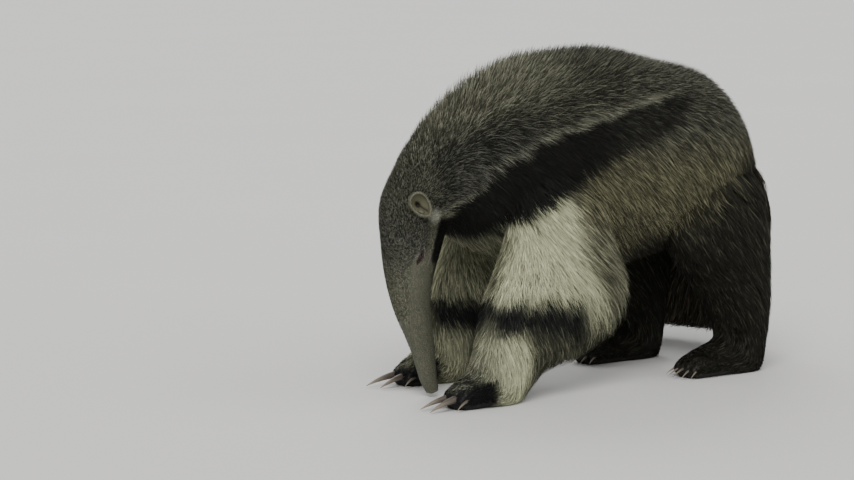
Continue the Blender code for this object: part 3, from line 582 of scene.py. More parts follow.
def coat_material():
    """Hair: darker at the root, partly its own colour and partly painted shade deep in the coat; each tuft a
    little lighter or darker at random; from the colours that markings() gave.
    """
    made, tree, shader = new_material("coat", Roughness=0.62, Specular_IOR_Level=0.14)
    along = attribute(tree, "along")
    # Partly painted shade: the colour darkens from the tip down to the root.
    colour = mix(tree, "MIX", node_math(tree, "POWER", along, 1.2),
                 attribute(tree, "root_colour", "Color"), attribute(tree, "tip_colour", "Color"))
    shade = node_math(tree, "MULTIPLY_ADD", attribute(tree, "shade"), 0.60, 0.70)
    strand = node_math(tree, "MULTIPLY_ADD", noise(tree, 420.0, 2.0), 0.4, 0.80)
    tint(tree, shader, colour, node_math(tree, "MULTIPLY", shade, strand))
    return made


def tint(tree, shader, colour, value):
    """Sets the shader's colour, made lighter or darker by a value round 1."""
    bright = tree.nodes.new("ShaderNodeHueSaturation")
    tree.links.new(colour, bright.inputs["Color"])
    tree.links.new(value, bright.inputs["Value"])
    tree.links.new(bright.outputs["Color"], shader.inputs["Base Color"])


def skin_material():
    """Short fur and bare skin: the coat's markings, broken by fine hairs, with folds as bump."""
    made, tree, shader = new_material("skin", Specular_IOR_Level=0.30)
    hairs = noise(tree, 1100.0, 4.0, (1.0, 1.0, 0.45))
    speck = ramp(tree, hairs, [(0.40, (0, 0, 0)), (0.66, (1, 1, 1))])
    furry = mix(tree, "MIX", speck, attribute(tree, "root_colour", "Color"),
                attribute(tree, "tip_colour", "Color"))
    bare_amount = attribute(tree, "bare")
    wrinkles = noise(tree, 210.0, 6.0)
    bare = ramp(tree, wrinkles, [(0.3, (0.008, 0.0045, 0.0035)), (0.7, (0.030, 0.013, 0.009))])
    tree.links.new(mix(tree, "MIX", bare_amount, furry, bare), shader.inputs["Base Color"])
    height = node_math(tree, "ADD", hairs, node_math(tree, "MULTIPLY", wrinkles, 0.9))
    add_bump(tree, shader, height, 0.45, 0.0010)
    rough = node_math(tree, "MULTIPLY_ADD", bare_amount, -0.26, 0.66)
    tree.links.new(rough, shader.inputs["Roughness"])
    return made


def ear_material():
    """Pale down on the back and rim, olive inside the cup and pinkish on the lobe; the hollow and the crease
    are painted dark as shade.
    """
    made, tree, shader = new_material("ear", Roughness=0.62, Specular_IOR_Level=0.28)
    # Painted shade: darkest where the cup value is highest, in the hollow and along the crease.
    inside = ramp(tree, attribute(tree, "cup"), [
        (0.00, (0.190, 0.187, 0.132)), (0.12, (0.125, 0.122, 0.078)), (0.45, (0.078, 0.076, 0.044)),
        (0.70, (0.032, 0.028, 0.015)), (1.00, (0.008, 0.006, 0.003))])
    colour = mix(tree, "MIX", attribute(tree, "lobe"), inside, (0.095, 0.091, 0.066, 1.0))
    down = node_math(tree, "MULTIPLY_ADD", noise(tree, 1100.0, 3.0), 0.6, 0.68)
    tint(tree, shader, colour, down)
    add_bump(tree, shader, noise(tree, 700.0, 4.0), 0.30, 0.0007)
    return made


def eye_material():
    """A dark wet eye: black pupil and upper half, and dark red-brown below."""
    made, tree, shader = new_material("eye", Roughness=0.12, Specular_IOR_Level=0.35, Coat_Weight=0.25,
                                      Coat_Roughness=0.05)
    streak = node_math(tree, "MULTIPLY_ADD", noise(tree, 900.0, 4.0), 0.10, -0.05)
    iris = ramp(tree, node_math(tree, "ADD", attribute(tree, "gaze"), streak), [
        (0.20, (0.004, 0.002, 0.002)), (0.32, (0.060, 0.018, 0.011)), (0.50, (0.070, 0.022, 0.014)),
        (0.62, (0.020, 0.009, 0.007)), (0.85, (0.028, 0.013, 0.010))])
    lower = ramp(tree, attribute(tree, "low"), [(0.36, (0.14, 0.14, 0.14)), (0.62, (1.0, 1.0, 1.0))])
    tree.links.new(mix(tree, "MULTIPLY", 1.0, iris, lower), shader.inputs["Base Color"])
    return made


def claw_material():
    """Horn: grey brown, darker at the root, worn pale at the tip, with fine lengthwise streaks."""
    made, tree, shader = new_material("claw", Specular_IOR_Level=0.45)
    along = attribute(tree, "along")
    streaks = noise(tree, 160.0, 5.0, (0.12, 1.0, 1.0))
    colour = ramp(tree, node_math(tree, "ADD", along, node_math(tree, "MULTIPLY_ADD", streaks, 0.5, -0.25)),
                  [(0.0, (0.030, 0.025, 0.020)), (0.45, (0.085, 0.070, 0.054)), (1.0, (0.240, 0.205, 0.155))])
    tree.links.new(colour, shader.inputs["Base Color"])
    tree.links.new(node_math(tree, "MULTIPLY_ADD", streaks, 0.30, 0.30), shader.inputs["Roughness"])
    add_bump(tree, shader, streaks, 0.30, 0.0006)
    return made


def floor_material():
    made, tree, shader = new_material("floor", Roughness=0.85)
    colour = ramp(tree, noise(tree, 1.2, 2.0), [(0.0, (0.660, 0.655, 0.640)), (1.0, (0.700, 0.695, 0.680))])
    tree.links.new(colour, shader.inputs["Base Color"])
    return made


def show(name, data):
    """A new object in the scene."""
    made = bpy.data.objects.new(name, data)
    bpy.context.scene.collection.objects.link(made)
    return made


def add_mesh(name, points, rings, sides):
    """A closed tube from a grid of points."""
    mesh = bpy.data.meshes.new(name)
    mesh.from_pydata(points.reshape(-1, 3).tolist(), [], grid_faces(rings, sides))
    return show(name, mesh)


def set_attribute(mesh, name, values):
    """Fills a point attribute of a mesh from an array of numbers, or of colours."""
    kind, field = ("FLOAT", "value") if np.ndim(values) == 1 else ("FLOAT_COLOR", "color")
    made = mesh.attributes.new(name, kind, "POINT")
    made.data.foreach_set(field, np.ascontiguousarray(values, dtype=np.float32).ravel())


def colours_from(base, salt):
    """Root and tip colours with an opaque alpha, where salt says which hairs have pale tips."""
    tip = np.where(salt[:, None], base[:, 2], base[:, 1])
    ones = np.ones((len(base), 1))
    return np.hstack([base[:, 0], ones]), np.hstack([tip, ones])


def uneven(first, last, spacing, focus, fine, spread):
    """Steps from first to last that close up to the fine spacing round each focus."""
    steps = [first]
    while steps[-1] < last:
        near = min(abs(steps[-1] - place) for place in focus)
        steps.append(steps[-1] + fine + (spacing - fine) * min(1.0, max(0.0, (near - spread) / spread)))
    steps = np.array(steps)
    return first + (steps - first) * (last - first) / (steps[-1] - first)


def grid_faces(rings, sides):
    """Faces of a closed tube of rings, with both ends capped."""
    faces = [list(range(sides))[::-1]]
    for ring in range(rings - 1):
        for step in range(sides):
            one = ring * sides + step
            two = ring * sides + (step + 1) % sides
            faces.append([one, two, two + sides, one + sides])
    faces.append([(rings - 1) * sides + step for step in range(sides)])
    return faces


def grid_normals(points):
    """Outward directions of a grid of rings, from the way its lines run."""
    along = np.gradient(points, axis=0)
    around = np.roll(points, -1, axis=1) - np.roll(points, 1, axis=1)
    normals = unit(np.cross(along, around))
    outward = points - points.mean(axis=1, keepdims=True)
    return normals * np.sign((normals * outward).sum(axis=-1).sum())


def smooth_max(first, second, blend):
    part = np.clip(0.5 + 0.5 * (first - second) / blend, 0, 1)
    return second * (1 - part) + first * part + blend * part * (1 - part)


def eye_plane(points, side):
    """Places beside the eye in its own plane: along the slit, across it, and out of the head."""
    away = points - (EYE.x, -side * EYE.y, EYE.z)
    tilt = math.radians(LID_TILT)
    long = away @ np.array([math.sin(tilt), 0.0, math.cos(tilt)])
    wide = away @ np.array([math.cos(tilt), 0.0, -math.sin(tilt)])
    return long, wide, away[..., 1] * side


def shape_eye(points, side):
    """Wraps the skin round the eyeball as two lids with a slit, rims and folds. Returns the bare
    share of the skin there."""
    u, v, out = eye_plane(points, side)
    far = np.hypot(u, v)
    lid = np.where(far < LID_RADIUS, np.sqrt(np.maximum(LID_RADIUS**2 - far**2, 0)), -0.02)
    raised = smooth_max(lid, out, 0.0045)
    edge = np.abs(v) - SLIT_HALF_WIDE * (1 - (u / SLIT_HALF_LONG) ** 2)
    near = smooth(np.abs(u), 0.015, 0.007)
    raised += 0.0008 * ridge(edge, 0.0012, 0.0009) * smooth(np.abs(u), 0.0125, 0.0085)
    for height, place, width in LID_FOLDS:
        raised += height * ridge(edge, place, width) * near
    raised -= 0.0012 * ridge(v, 0.0215, 0.0013) * smooth(np.abs(u), 0.016, 0.006)
    corner = ridge(v, 0.0, 0.0011) * smooth(np.abs(u), SLIT_HALF_LONG - 0.002, SLIT_HALF_LONG)
    raised -= 0.0018 * corner * smooth(np.abs(u), MARGIN_HALF_LONG, SLIT_HALF_LONG + 0.002)
    inside = smooth(edge, 0.0003, -0.0005) * (np.abs(u) < SLIT_HALF_LONG)
    ball = np.sqrt(np.maximum(EYE_RADIUS**2 - far**2, 0)) - 0.0014
    raised = raised * (1 - inside) + np.minimum(ball, raised) * inside
    facing = out > -EYE_DEPTH
    points[..., 1] = EYE.y * -side + side * np.where(facing & (far < EYE_REACH), raised, out)
    margin = np.abs(v) - MARGIN_HALF_WIDE * (1 - (u / MARGIN_HALF_LONG) ** 2)
    return np.where(facing, smooth(margin, 0.0012, -0.0010), 0.0)


def line_distance(points, line):
    """The distance from each point to a broken line."""
    best = np.full(points.shape[:-1], 1.0)
    for start, end in zip(line, line[1:]):
        way = end - start
        part = np.clip(((points - start) @ way) / (way @ way), 0, 1)
        best = np.minimum(best, np.linalg.norm(points - start - part[..., None] * way, axis=-1))
    return best


def shape_mouth(points, normals, side):
    """Sinks one nostril and one side of the line between the lips. Returns the bare share of the
    skin there."""
    nostril = np.array([NOSTRIL.x, side * -NOSTRIL.y, NOSTRIL.z])
    away = np.linalg.norm((points - nostril) * (0.75, 1.0, 1.15), axis=-1)
    pit = -NOSTRIL_DEPTH * smooth(away, 0.0030, 0.0012) + RIM_HEIGHT * ridge(away, 0.0040, 0.0012)
    points += normals * pit[..., None]
    line = [surface(SPINE_ROWS, np.array(row), np.array(-side * turn), 0.0) for row, turn in MOUTH]
    away = line_distance(points, line)
    lips = -LIP_DEPTH * ridge(away, 0.0, 0.0008) + RIM_HEIGHT * ridge(away, 0.0022, 0.0011)
    points += normals * lips[..., None]
    return 0.8 * smooth(away, 0.0022, 0.0008)


def make_trunk():
    """The head, neck and torso as one closed grid, finer round the eyes."""
    stations = np.concatenate([
        uneven(0.0, HEAD_END, 0.055, (5.55,), 0.013, 0.32)[:-1],
        np.linspace(HEAD_END, len(SPINE) - 1.0, 70)])
    half = uneven(0.0, math.pi, 0.055, (math.pi / 2 - 0.06,), 0.021, 0.30)
    angles = np.concatenate([half[:-1], 2 * math.pi - half[:0:-1]])
    at, angle = np.meshgrid(stations, angles, indexing="ij")
    points = surface(SPINE_ROWS, at, angle, spine_share(at, angle))
    normals = grid_normals(points)
    bare = smooth(at, 0.75, 0.35) * 0.9
    points += normals * (0.0009 * ridge(at, 0.75, 0.18))[..., None]
    for side in (-1, 1):
        bare = np.maximum(bare, shape_eye(points, side))
        bare = np.maximum(bare, shape_mouth(points, normals, side))
    trunk = add_mesh("skin", points, len(stations), len(angles))
    set_attribute(trunk.data, "bare", bare.ravel())
    return trunk


def make_limb(name, rows, share, last, spacing, toes=0):
    """A leg or the tail as a closed grid, flat where it stands on the floor, with its toes raised."""
    stations = np.arange(0, last + 0.001, spacing)
    points, at = form_grid(rows, share, stations, LIMB_SIDES)
    if toes:
        out = (points[..., 1] - read_rows(rows, at)[..., 1]) / FOOT_HALF_WIDE
        start = 0.0 if toes % 2 else math.pi
        raised = TOE_HEIGHT * (np.cos(out * math.pi * toes + start) - 0.2) * smooth(at, 7.6, 9.0)
        points += grid_normals(points) * raised[..., None]
    points[..., 2] = np.maximum(points[..., 2], 0.0)
    return add_mesh(name, points, len(stations), LIMB_SIDES)


def union(piece, others):
    """Joins closed meshes to one skin."""
    group = bpy.data.collections.new("joined")
    bpy.context.scene.collection.children.link(group)
    for item in others:
        group.objects.link(item)
    boolean = piece.modifiers.new("Union", "BOOLEAN")
    boolean.operation = "UNION"
    boolean.operand_type = "COLLECTION"
    boolean.collection = group
    boolean.solver = "MANIFOLD"
    graph = bpy.context.evaluated_depsgraph_get()
    piece.data = bpy.data.meshes.new_from_object(piece.evaluated_get(graph))
    piece.modifiers.clear()
    for item in others:
        bpy.data.objects.remove(item)
    bpy.data.collections.remove(group)


def face_outwards(mesh):
    shaped = bmesh.new()
    shaped.from_mesh(mesh)
    bmesh.ops.recalc_face_normals(shaped, faces=shaped.faces)
    shaped.to_mesh(mesh)
    shaped.free()


def points_of(mesh):
    co = np.empty(len(mesh.vertices) * 3, np.float32)
    mesh.vertices.foreach_get("co", co)
    return co.reshape(-1, 3).astype(float)


def make_skin(material):
    """One skin for all the flesh, with the coat's markings."""
    skin = make_trunk()
    limbs = []
    for name, side in SIDES:
        limbs.append(make_limb("fore_" + name, FORE_ROWS[side], leg_share, 10, 0.1, toes=4))
        limbs.append(make_limb("hind_" + name, HIND_ROWS[side], leg_share, 10, 0.1, toes=5))
    limbs.append(make_limb("tail", TAIL_ROWS, tail_share, TAIL_SKIN_END, 0.12))
    for item in [skin, *limbs]:
        face_outwards(item.data)
    union(skin, limbs)
    place = points_of(skin.data)
    x, y, z = place.T
    base = markings(place, "skin")
    low_down = (z < 0.30) & (np.abs(y) > 0.07)
    snout_side = -0.22 + 0.08 * (np.abs(y) < 0.10)
    for form, chosen in (
        ("fore", low_down & (x < 0.26) & (x > snout_side)),
        ("hind", low_down & (x >= 0.30)),
        ("tail", (x > 0.64) | (y > 0.20)),
    ):
        base[chosen] = markings(place[chosen], form)
    chance = np.random.default_rng(SEED)
    root, tip = colours_from(base, chance.random(len(place)) < base[:, 3, 0])
    set_attribute(skin.data, "root_colour", root)
    set_attribute(skin.data, "tip_colour", tip)
    flesh = [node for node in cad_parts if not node.startswith(("eye", "claw", "ear"))]
    finish_piece(skin, material, flesh)


def finish_piece(piece, material, nodes):
    """Gives a smooth piece its material, and puts it in its place."""
    piece.data.materials.clear()
    piece.data.materials.append(material)
    piece.data.shade_smooth()
    place_piece(piece, nodes)


def place_piece(piece, nodes=()):
    """Moves a piece from body coordinates to where the model stands, hangs it on the body's root, and hides
    the model's parts that it stands in for, if any are given.
    """
    piece.data.transform(Matrix.Translation(Vector(SHIFT)))
    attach(piece, "root")
    if nodes:
        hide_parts(*nodes)


def make_eyes(material):
    """Each eyeball is finer than the solid's, with the cornea raised a little."""
    for name, side in SIDES:
        shaped = bmesh.new()
        bmesh.ops.create_uvsphere(shaped, u_segments=48, v_segments=32, radius=1.0)
        mesh = bpy.data.meshes.new("eyeball_" + name)
        shaped.to_mesh(mesh)
        shaped.free()
        points = points_of(mesh)
        gaze = unit(np.array([-0.30, side * 1.0, -0.02]))
        cosine = points @ gaze
        points *= (EYE_RADIUS * (1 + 0.035 * smooth(cosine, 0.80, 0.95)))[:, None]
        points += (EYE.x, -side * EYE.y, EYE.z)
        mesh.vertices.foreach_set("co", points.astype(np.float32).ravel())
        mesh.update()
        set_attribute(mesh, "gaze", np.arccos(np.clip(cosine, -1, 1)) / (math.pi / 2))
        set_attribute(mesh, "low", 0.5 + (EYE.z - points[:, 2]) / (2 * EYE_RADIUS))
        finish_piece(show("eyeball_" + name, mesh), material, ["eye_" + name])


def ear_surface(side, part, turn):
    """Points of an ear: part runs from the back of its stalk at 0 over the rim at 0.5 to the depth
    of the cup at 1, and turn goes round from the tip. Also says how deep in the cup each point is, with the
    hollow and the crease counted deepest so that they get painted shade, and how much of the lobe."""
    mirror = np.array([1, -side, 1])
    facing = unit(np.array(EAR_FACING) * mirror)
    long = np.array(EAR_LONG) * mirror
    long = unit(long - facing * (long @ facing))
    across = np.cross(facing, long)
    outer = part < 0.5
    lift = np.abs(part - 0.5) * 2
    reach = np.cos(lift * math.pi / 2) * np.where(outer, 1.0, 1.0 - EAR_WALL / EAR_HALF[1])
    tall = EAR_HALF[0] * (reach * np.cos(turn) - np.where(outer, 0.10, -0.04) * lift)
    wide = EAR_HALF[1] * reach * np.sin(turn) * (1 + 0.20 * np.cos(turn))
    depth = -np.sin(lift * math.pi / 2) * EAR_HALF[2] * np.where(outer, 1.0, 0.55)
    depth += 0.0016 * ridge(part, 0.5, 0.05) + 0.004 * np.cos(turn * 2) * (1 - lift)
    inner = ~outer * smooth(lift, 0.06, 0.40)
    spot = np.stack([tall, wide * -side], -1)
    hollow = inner * smooth(np.linalg.norm((spot - EAR_HOLLOW) * (0.65, 1.0), axis=-1), 0.0078, 0.0020)
    crease = inner * ridge(line_distance(spot, np.array([EAR_HOLLOW, EAR_CREASE_END])), 0.0, 0.0026)
    lobe = inner * smooth(np.linalg.norm(spot - EAR_LOBE, axis=-1), 0.0090, 0.0030) * (1 - hollow)
    depth += 0.0050 * lobe - 0.0030 * hollow - 0.0022 * crease
    stalk = np.array(EAR_STALK) * mirror
    root = np.array(EAR) * mirror + (np.array(RIGHT_EAR_BACK) if side > 0 else 0.0)
    place = (root + long * tall[..., None] + across * wide[..., None]
             + facing * depth[..., None] + stalk * (smooth(lift, 0.45, 1.0) * outer)[..., None])
    # The hollow and the crease count as deepest, which paints shade in them.
    cup = np.maximum(np.where(outer, 0.0, 0.45 * smooth(lift, 0.0, 0.16)), np.maximum(hollow, 0.80 * crease))
    return place, cup, lobe


def make_ears(material):
    """Each ear is a rimmed cup on a stalk, with a dark hollow, a crease and a lobe inside."""
    part, turn = np.meshgrid(np.linspace(0, 1, EAR_RINGS), turns(EAR_SIDES), indexing="ij")
    for name, side in SIDES:
        points, cup, lobe = ear_surface(side, part, turn)
        ear = add_mesh("ear_cup_" + name, points, EAR_RINGS, EAR_SIDES)
        face_outwards(ear.data)
        set_attribute(ear.data, "cup", cup.ravel())
        set_attribute(ear.data, "lobe", lobe.ravel())
        finish_piece(ear, material, ["ear_" + name])


def make_claw(name, root, way, length, radius, material):
    """One curved claw of horn, wider than deep at the root and flat underneath."""
    parts = np.linspace(0, 1, CLAW_RINGS)
    line = root + np.outer(parts, way * (length + 0.02))
    line[:, 2] -= (root[2] - CLAW_TIP_Z) * parts**2
    along = unit(np.gradient(line, axis=0))
    across = unit(np.cross(along, (0, 0, 1)))
    up = np.cross(across, along)
    turn = turns(CLAW_SIDES)
    radii = radius * (1.0 - 0.93 * parts**1.6)
    flat = np.where(np.sin(turn) < 0, 0.62, 1.0)
    points = (line[:, None] + across[:, None] * (radii[:, None] * np.cos(turn) * 0.86)[..., None]
              + up[:, None] * (radii[:, None] * np.sin(turn) * flat)[..., None])
    claw = add_mesh("horn_" + name, points, CLAW_RINGS, CLAW_SIDES)
    face_outwards(claw.data)
    set_attribute(claw.data, "along", np.repeat(parts, CLAW_SIDES))
    finish_piece(claw, material, ["claw_" + name])


def make_claws(material):
    """The claws of each foot, spread a little like its toes."""
    for foot, forms, claws in (("fore", FORE_ROWS, FORE_CLAWS), ("hind", HIND_ROWS, HIND_CLAWS)):
        for name, side in SIDES:
            toe = (forms[side][-2][:3] + forms[side][-1][:3]) / 2
            for number, (out, length, radius) in enumerate(claws, 1):
                root = toe + (0.012 + 0.35 * abs(out), side * out, 0.003 + radius * 0.3)
                way = unit(np.array([-1.0, side * out * 12, 0.0]))
                make_claw(f"{foot}_{name}_{number}", root, way, length, radius, material)


# Coats. Each grows on a stretch of a form: rows and angles from and to, how many tufts, the width of
# each, how many stretches it has, and how far its tip is drawn to the middle of its clump.
Coat = namedtuple("Coat", "name form rows share slot first last start end count width stretches gather")
ROUND = (-math.pi, math.pi)
TUFTS = {2: ((0.0, 0.50, 1.0), (0.85, 1.0)), 3: ((0.0, 0.36, 0.70, 1.0), (0.80, 1.0, 0.70))}
CLUMP = 0.012
PATCH = 0.003
# How deep a tuft is rooted in the skin, and the lowest that its points lie over the floor.
ROOT_DEPTH = 0.0015
FLOOR_CLEAR = 0.0012
# The down of the ears: how many hairs each, how wide, and the shortest and longest.
DOWN_COUNT = 3500
DOWN_WIDTH = 0.0006
DOWN_LENGTH = (0.002, 0.005)

HEAD = ("head", SPINE_ROWS, spine_share, "head_fur")
TRUNK = ("spine", SPINE_ROWS, spine_share, "coat")
FORE = {side: ("fore", FORE_ROWS[side], leg_share, "foreleg_fur") for side in (-1, 1)}
HIND = {side: ("hind", HIND_ROWS[side], leg_share, "dark_fur") for side in (-1, 1)}
TAIL_HAIR = ("tail", TAIL_ROWS, tail_share, "coat")
COATS = [
    Coat("face", *HEAD, 0.9, 6.6, *ROUND, 60000, 0.0007, 2, 0.10),
    Coat("nape", *TRUNK, 6.3, 9.4, *ROUND, 66000, 0.0010, 2, 0.12),
    Coat("mane", *TRUNK, 9.1, 17.0, -0.75, 0.75, 66000, 0.0010, 2, 0.10),
    Coat("flank_left", *TRUNK, 9.1, 17.0, 0.70, 2.40, 66000, 0.0011, 2, 0.16),
    Coat("flank_right", *TRUNK, 9.1, 17.0, -2.40, -0.70, 40000, 0.0015, 2, 0.22),
    Coat("belly", *TRUNK, 9.1, 17.0, 2.35, 3.93, 14000, 0.0021, 2, 0.30),
    Coat("foreleg_left", *FORE[-1], 0.4, 10.0, *ROUND, 42000, 0.0014, 3, 0.28),
    Coat("foreleg_right", *FORE[1], 0.4, 10.0, *ROUND, 26000, 0.0017, 3, 0.28),
    Coat("hindleg_left", *HIND[-1], 0.4, 10.0, *ROUND, 34000, 0.0016, 2, 0.28),
    Coat("hindleg_right", *HIND[1], 0.4, 10.0, *ROUND, 26000, 0.0018, 2, 0.28),
    Coat("tail_base", *TAIL_HAIR, 0.5, 4.2, *ROUND, 20000, 0.0022, 3, 0.30),
    Coat("tail_end", *TAIL_HAIR, 4.2, 8.7, *ROUND, 18000, 0.0022, 3, 0.30),
]


def lie_of(form, at, angle):
    """How far each hair runs along the form, how much of that it turns towards the underside or the
    rear, how early it rises, where 1 is straight and more lifts it near its root, and how unevenly
    hairs end."""
    front = np.cos(angle)
    even = np.ones(len(at))
    if form in ("head", "spine"):
        crest = crest_amount(at, angle)
        run = 0.0050 + (0.0310 - 0.0160 * smooth(front, 0.1, 0.9)) * smooth(at, 7.6, 11.0)
        ends = np.maximum(crest, 0.5 * smooth(front, 0.3, 0.9) * smooth(at, 8.0, 9.5))
        return run * (1 - 0.50 * crest), 0.80 * smooth(at, 7.5, 10.0), 1.5 + 0.9 * crest, ends
    if form == "tail":
        return 0.085 * even, 0.85 * even, 1.5 * even, 0.3 * even
    rear = smooth(-front, -0.3, 0.9) * smooth(at, 7.0, 5.0)
    run = 0.012 + (0.024 + 0.036 * rear) * smooth(at, 7.6, 6.0)
    sweep = 0.75 if form == "fore" else 0.30
    return run, sweep * smooth(at, 7.0, 5.5), 1.5 * even, 0.35 * rear


def area_of(coat, at, angle, step=0.01):
    """Metres of surface along and around for each row and radian, and the outward direction."""
    share = coat.share(at, angle)
    along = surface(coat.rows, at + step, angle, share) - surface(coat.rows, at - step, angle, share)
    around = surface(coat.rows, at, angle + step, share) - surface(coat.rows, at, angle - step, share)
    normal = unit(np.cross(along, around))
    outward = surface(coat.rows, at, angle, share) - read_rows(coat.rows, at)[:, :3]
    normal *= np.sign((normal * outward).sum(axis=1))[:, None]
    lengths = [np.maximum(np.linalg.norm(way, axis=1) / (2 * step), 1e-4) for way in (along, around)]
    return lengths[0], lengths[1], normal


def sample_roots(coat, chance):
    """Rows and angles spread evenly over the stretch's own area."""
    count = int(coat.count * (1.0))
    at = chance.uniform(coat.first, coat.last, count * 4)
    angle = chance.uniform(coat.start, coat.end, count * 4)
    long, round_, _ = area_of(coat, at, angle)
    keys = chance.random(count * 4) ** (1 / (long * round_))
    chosen = np.argsort(-keys)[:count]
    return at[chosen], angle[chosen]


def grows(coat, place, normal, forms, chance):
    """Which roots carry hair: not those inside another form, under a sole, on the lids, or, but for
    a few, on the smooth side of the snout."""
    keep = ~((normal[:, 2] < -0.5) & (place[:, 2] < 0.012))
    if coat.form == "head":
        keep &= chance.random(len(place)) > 0.90 * cheek_amount(place)
        keep &= lid_amount(place) < 0.45
        for side in (-1, 1):
            u, v, out = eye_plane(place, side)
            near = np.hypot(u / HAIRLESS_HALF_LONG, v / HAIRLESS_HALF_WIDE) < 1
            keep &= ~(near & (out > -EYE_DEPTH))
    own = "spine" if coat.form in ("head", "spine", "tail") else coat.name
    for name, tree in forms.items():
        if name in (own, coat.form):
            continue
        for number in np.nonzero(keep)[0]:
            found, outward, _, distance = tree.find_nearest(Vector(place[number]), 0.06)
            if found is not None and distance > 0.004:
                keep[number] = (Vector(place[number]) - found).dot(outward) > 0
    return keep


def gathered(place, tips, chance):
    """How far each tip is from the middle of its clump."""
    cell = np.floor(place / CLUMP + chance.uniform(-0.35, 0.35, place.shape))
    clump = np.unique(cell, axis=0, return_inverse=True)[1].ravel()
    middle = np.stack([np.bincount(clump, tips[:, axis]) / np.bincount(clump) for axis in range(3)], 1)
    return middle[clump] - tips


def tuft_lines(coat, at, angle, place, chance):
    """The line of each tuft, which runs along the form and out to about the coat's depth, and the
    outward direction at its root."""
    count = len(at)
    long, round_, normal = area_of(coat, at, angle)
    run, sweep, rise, uneven_ends = lie_of(coat.form, at, angle)
    run = run * chance.uniform(0.60, 1.20, count)
    stray = chance.normal(0, 0.22, count) + waver(place, 0.030) * 0.14
    turned = run * (sweep * np.sin(angle) + stray)
    start = coat.share(at, angle)
    end = start + (1 - start) * chance.beta(4.6 - 2.7 * uneven_ends, 1.6 + 1.0 * uneven_ends) * 1.04
    steps = TUFTS[coat.stretches][0]
    line = []
    for t in steps:
        row = at + run / long * t**1.15
        share = start + (end - start) * (1 - (1 - t) ** rise)
        share *= tail_tip(row) if coat.form == "tail" else 1.0
        line.append(surface(coat.rows, row, angle + turned / round_ * t**1.5, share))
    line = np.stack(line, 1)
    pull = gathered(place, line[:, -1], chance) * coat.gather
    line += pull[:, None] * (np.array(steps) ** 1.6)[None, :, None]
    line[:, 0] -= normal * ROOT_DEPTH
    return line, normal


def grow_coat(coat, order, material, forms):
    """Grows a coat's tufts, each with the colours of the place where it is seen."""
    chance = np.random.default_rng(SEED + order)
    at, angle = sample_roots(coat, chance)
    place = surface(coat.rows, at, angle, coat.share(at, angle))
    keep = grows(coat, place, area_of(coat, at, angle)[2], forms, chance)
    at, angle, place = at[keep], angle[keep], place[keep]
    count = len(at)
    line, normal = tuft_lines(coat, at, angle, place, chance)
    reach = line[:, -1] - line[:, 0]
    length = np.linalg.norm(reach, axis=1)
    width = coat.width * chance.uniform(0.7, 1.3, count) * np.clip(length / 0.02, 0.7, 1.0)
    seen = line[:, 0] + reach * chance.uniform(0.35, 0.85, (count, 1))
    base = markings(seen, coat.form)
    root, tip = colours_from(base, chance.random(count) < base[:, 3, 0])
    shade = np.clip(0.5 + chance.normal(0, 0.22, count) + waver(place, 0.020) * 0.08, 0, 1)
    spot = np.stack([(angle - coat.start) / (coat.end - coat.start),
                     (at - coat.first) / (coat.last - coat.first)], 1)
    points = ribbons(line, normal, width, TUFTS[coat.stretches][1], chance)
    build_tufts(coat.name, coat.stretches, points, (root, tip, shade), spot, material)


def ribbons(line, normal, width, widths, chance):
    """Two points at each step of a tuft and one at its tip, turned a little at random."""
    count = len(line)
    way = unit(line[:, 1] - line[:, 0])
    side = unit(np.cross(way, normal))
    turn = chance.uniform(-0.9, 0.9, count)[:, None]
    side = side * np.cos(turn) + np.cross(way, side) * np.sin(turn)
    half = side[:, None] * (width[:, None] * np.array(widths) / 2)[:, :, None]
    rings = np.stack([line[:, :-1] - half, line[:, :-1] + half], 2).reshape(count, -1, 3)
    points = np.concatenate([rings, line[:, -1:]], 1)
    points[:, :, 2] = np.maximum(points[:, :, 2], FLOOR_CLEAR)
    return points


def build_tufts(name, stretches, points, looks, spot, material):
    """One mesh of all a coat's tufts, with their colours and a small patch of OFBake for each."""
    count, size, _ = points.shape
    starts = np.arange(count)[:, None] * size
    quads = [starts + np.array([0, 1, 3, 2]) + 2 * ring for ring in range(stretches - 1)]
    loops = np.concatenate([*quads, starts + np.arange(size - 3, size)], 1).ravel()
    sides = np.tile([4] * (stretches - 1) + [3], count)
    mesh = bpy.data.meshes.new("coat_" + name)
    mesh.vertices.add(count * size)
    mesh.vertices.foreach_set("co", points.astype(np.float32).ravel())
    mesh.loops.add(len(loops))
    mesh.loops.foreach_set("vertex_index", loops.astype(np.int32))
    mesh.polygons.add(len(sides))
    mesh.polygons.foreach_set("loop_start", (np.cumsum(sides) - sides).astype(np.int32))
    mesh.polygons.foreach_set("use_smooth", np.ones(len(sides), bool))
    mesh.update(calc_edges=True)
    for key, values in zip(("root_colour", "tip_colour"), looks):
        set_attribute(mesh, key, np.repeat(values, size, axis=0))
    set_attribute(mesh, "shade", np.repeat(looks[2], size))
    steps = TUFTS[stretches][0]
    along = np.append(np.repeat(steps[:-1], 2), 1.0)
    set_attribute(mesh, "along", np.tile(along, count))
    across = np.append(np.tile([0.0, 1.0], stretches), 0.5)
    patch = np.stack([across, along], 1) * PATCH
    spot = np.repeat(spot * (1 - PATCH), size, axis=0) + np.tile(patch, (count, 1))
    layer = mesh.uv_layers.new(name="OFBake")
    layer.data.foreach_set("uv", spot[loops].astype(np.float32).ravel())
    mesh.materials.append(material)
    place_piece(show("coat_" + name, mesh))


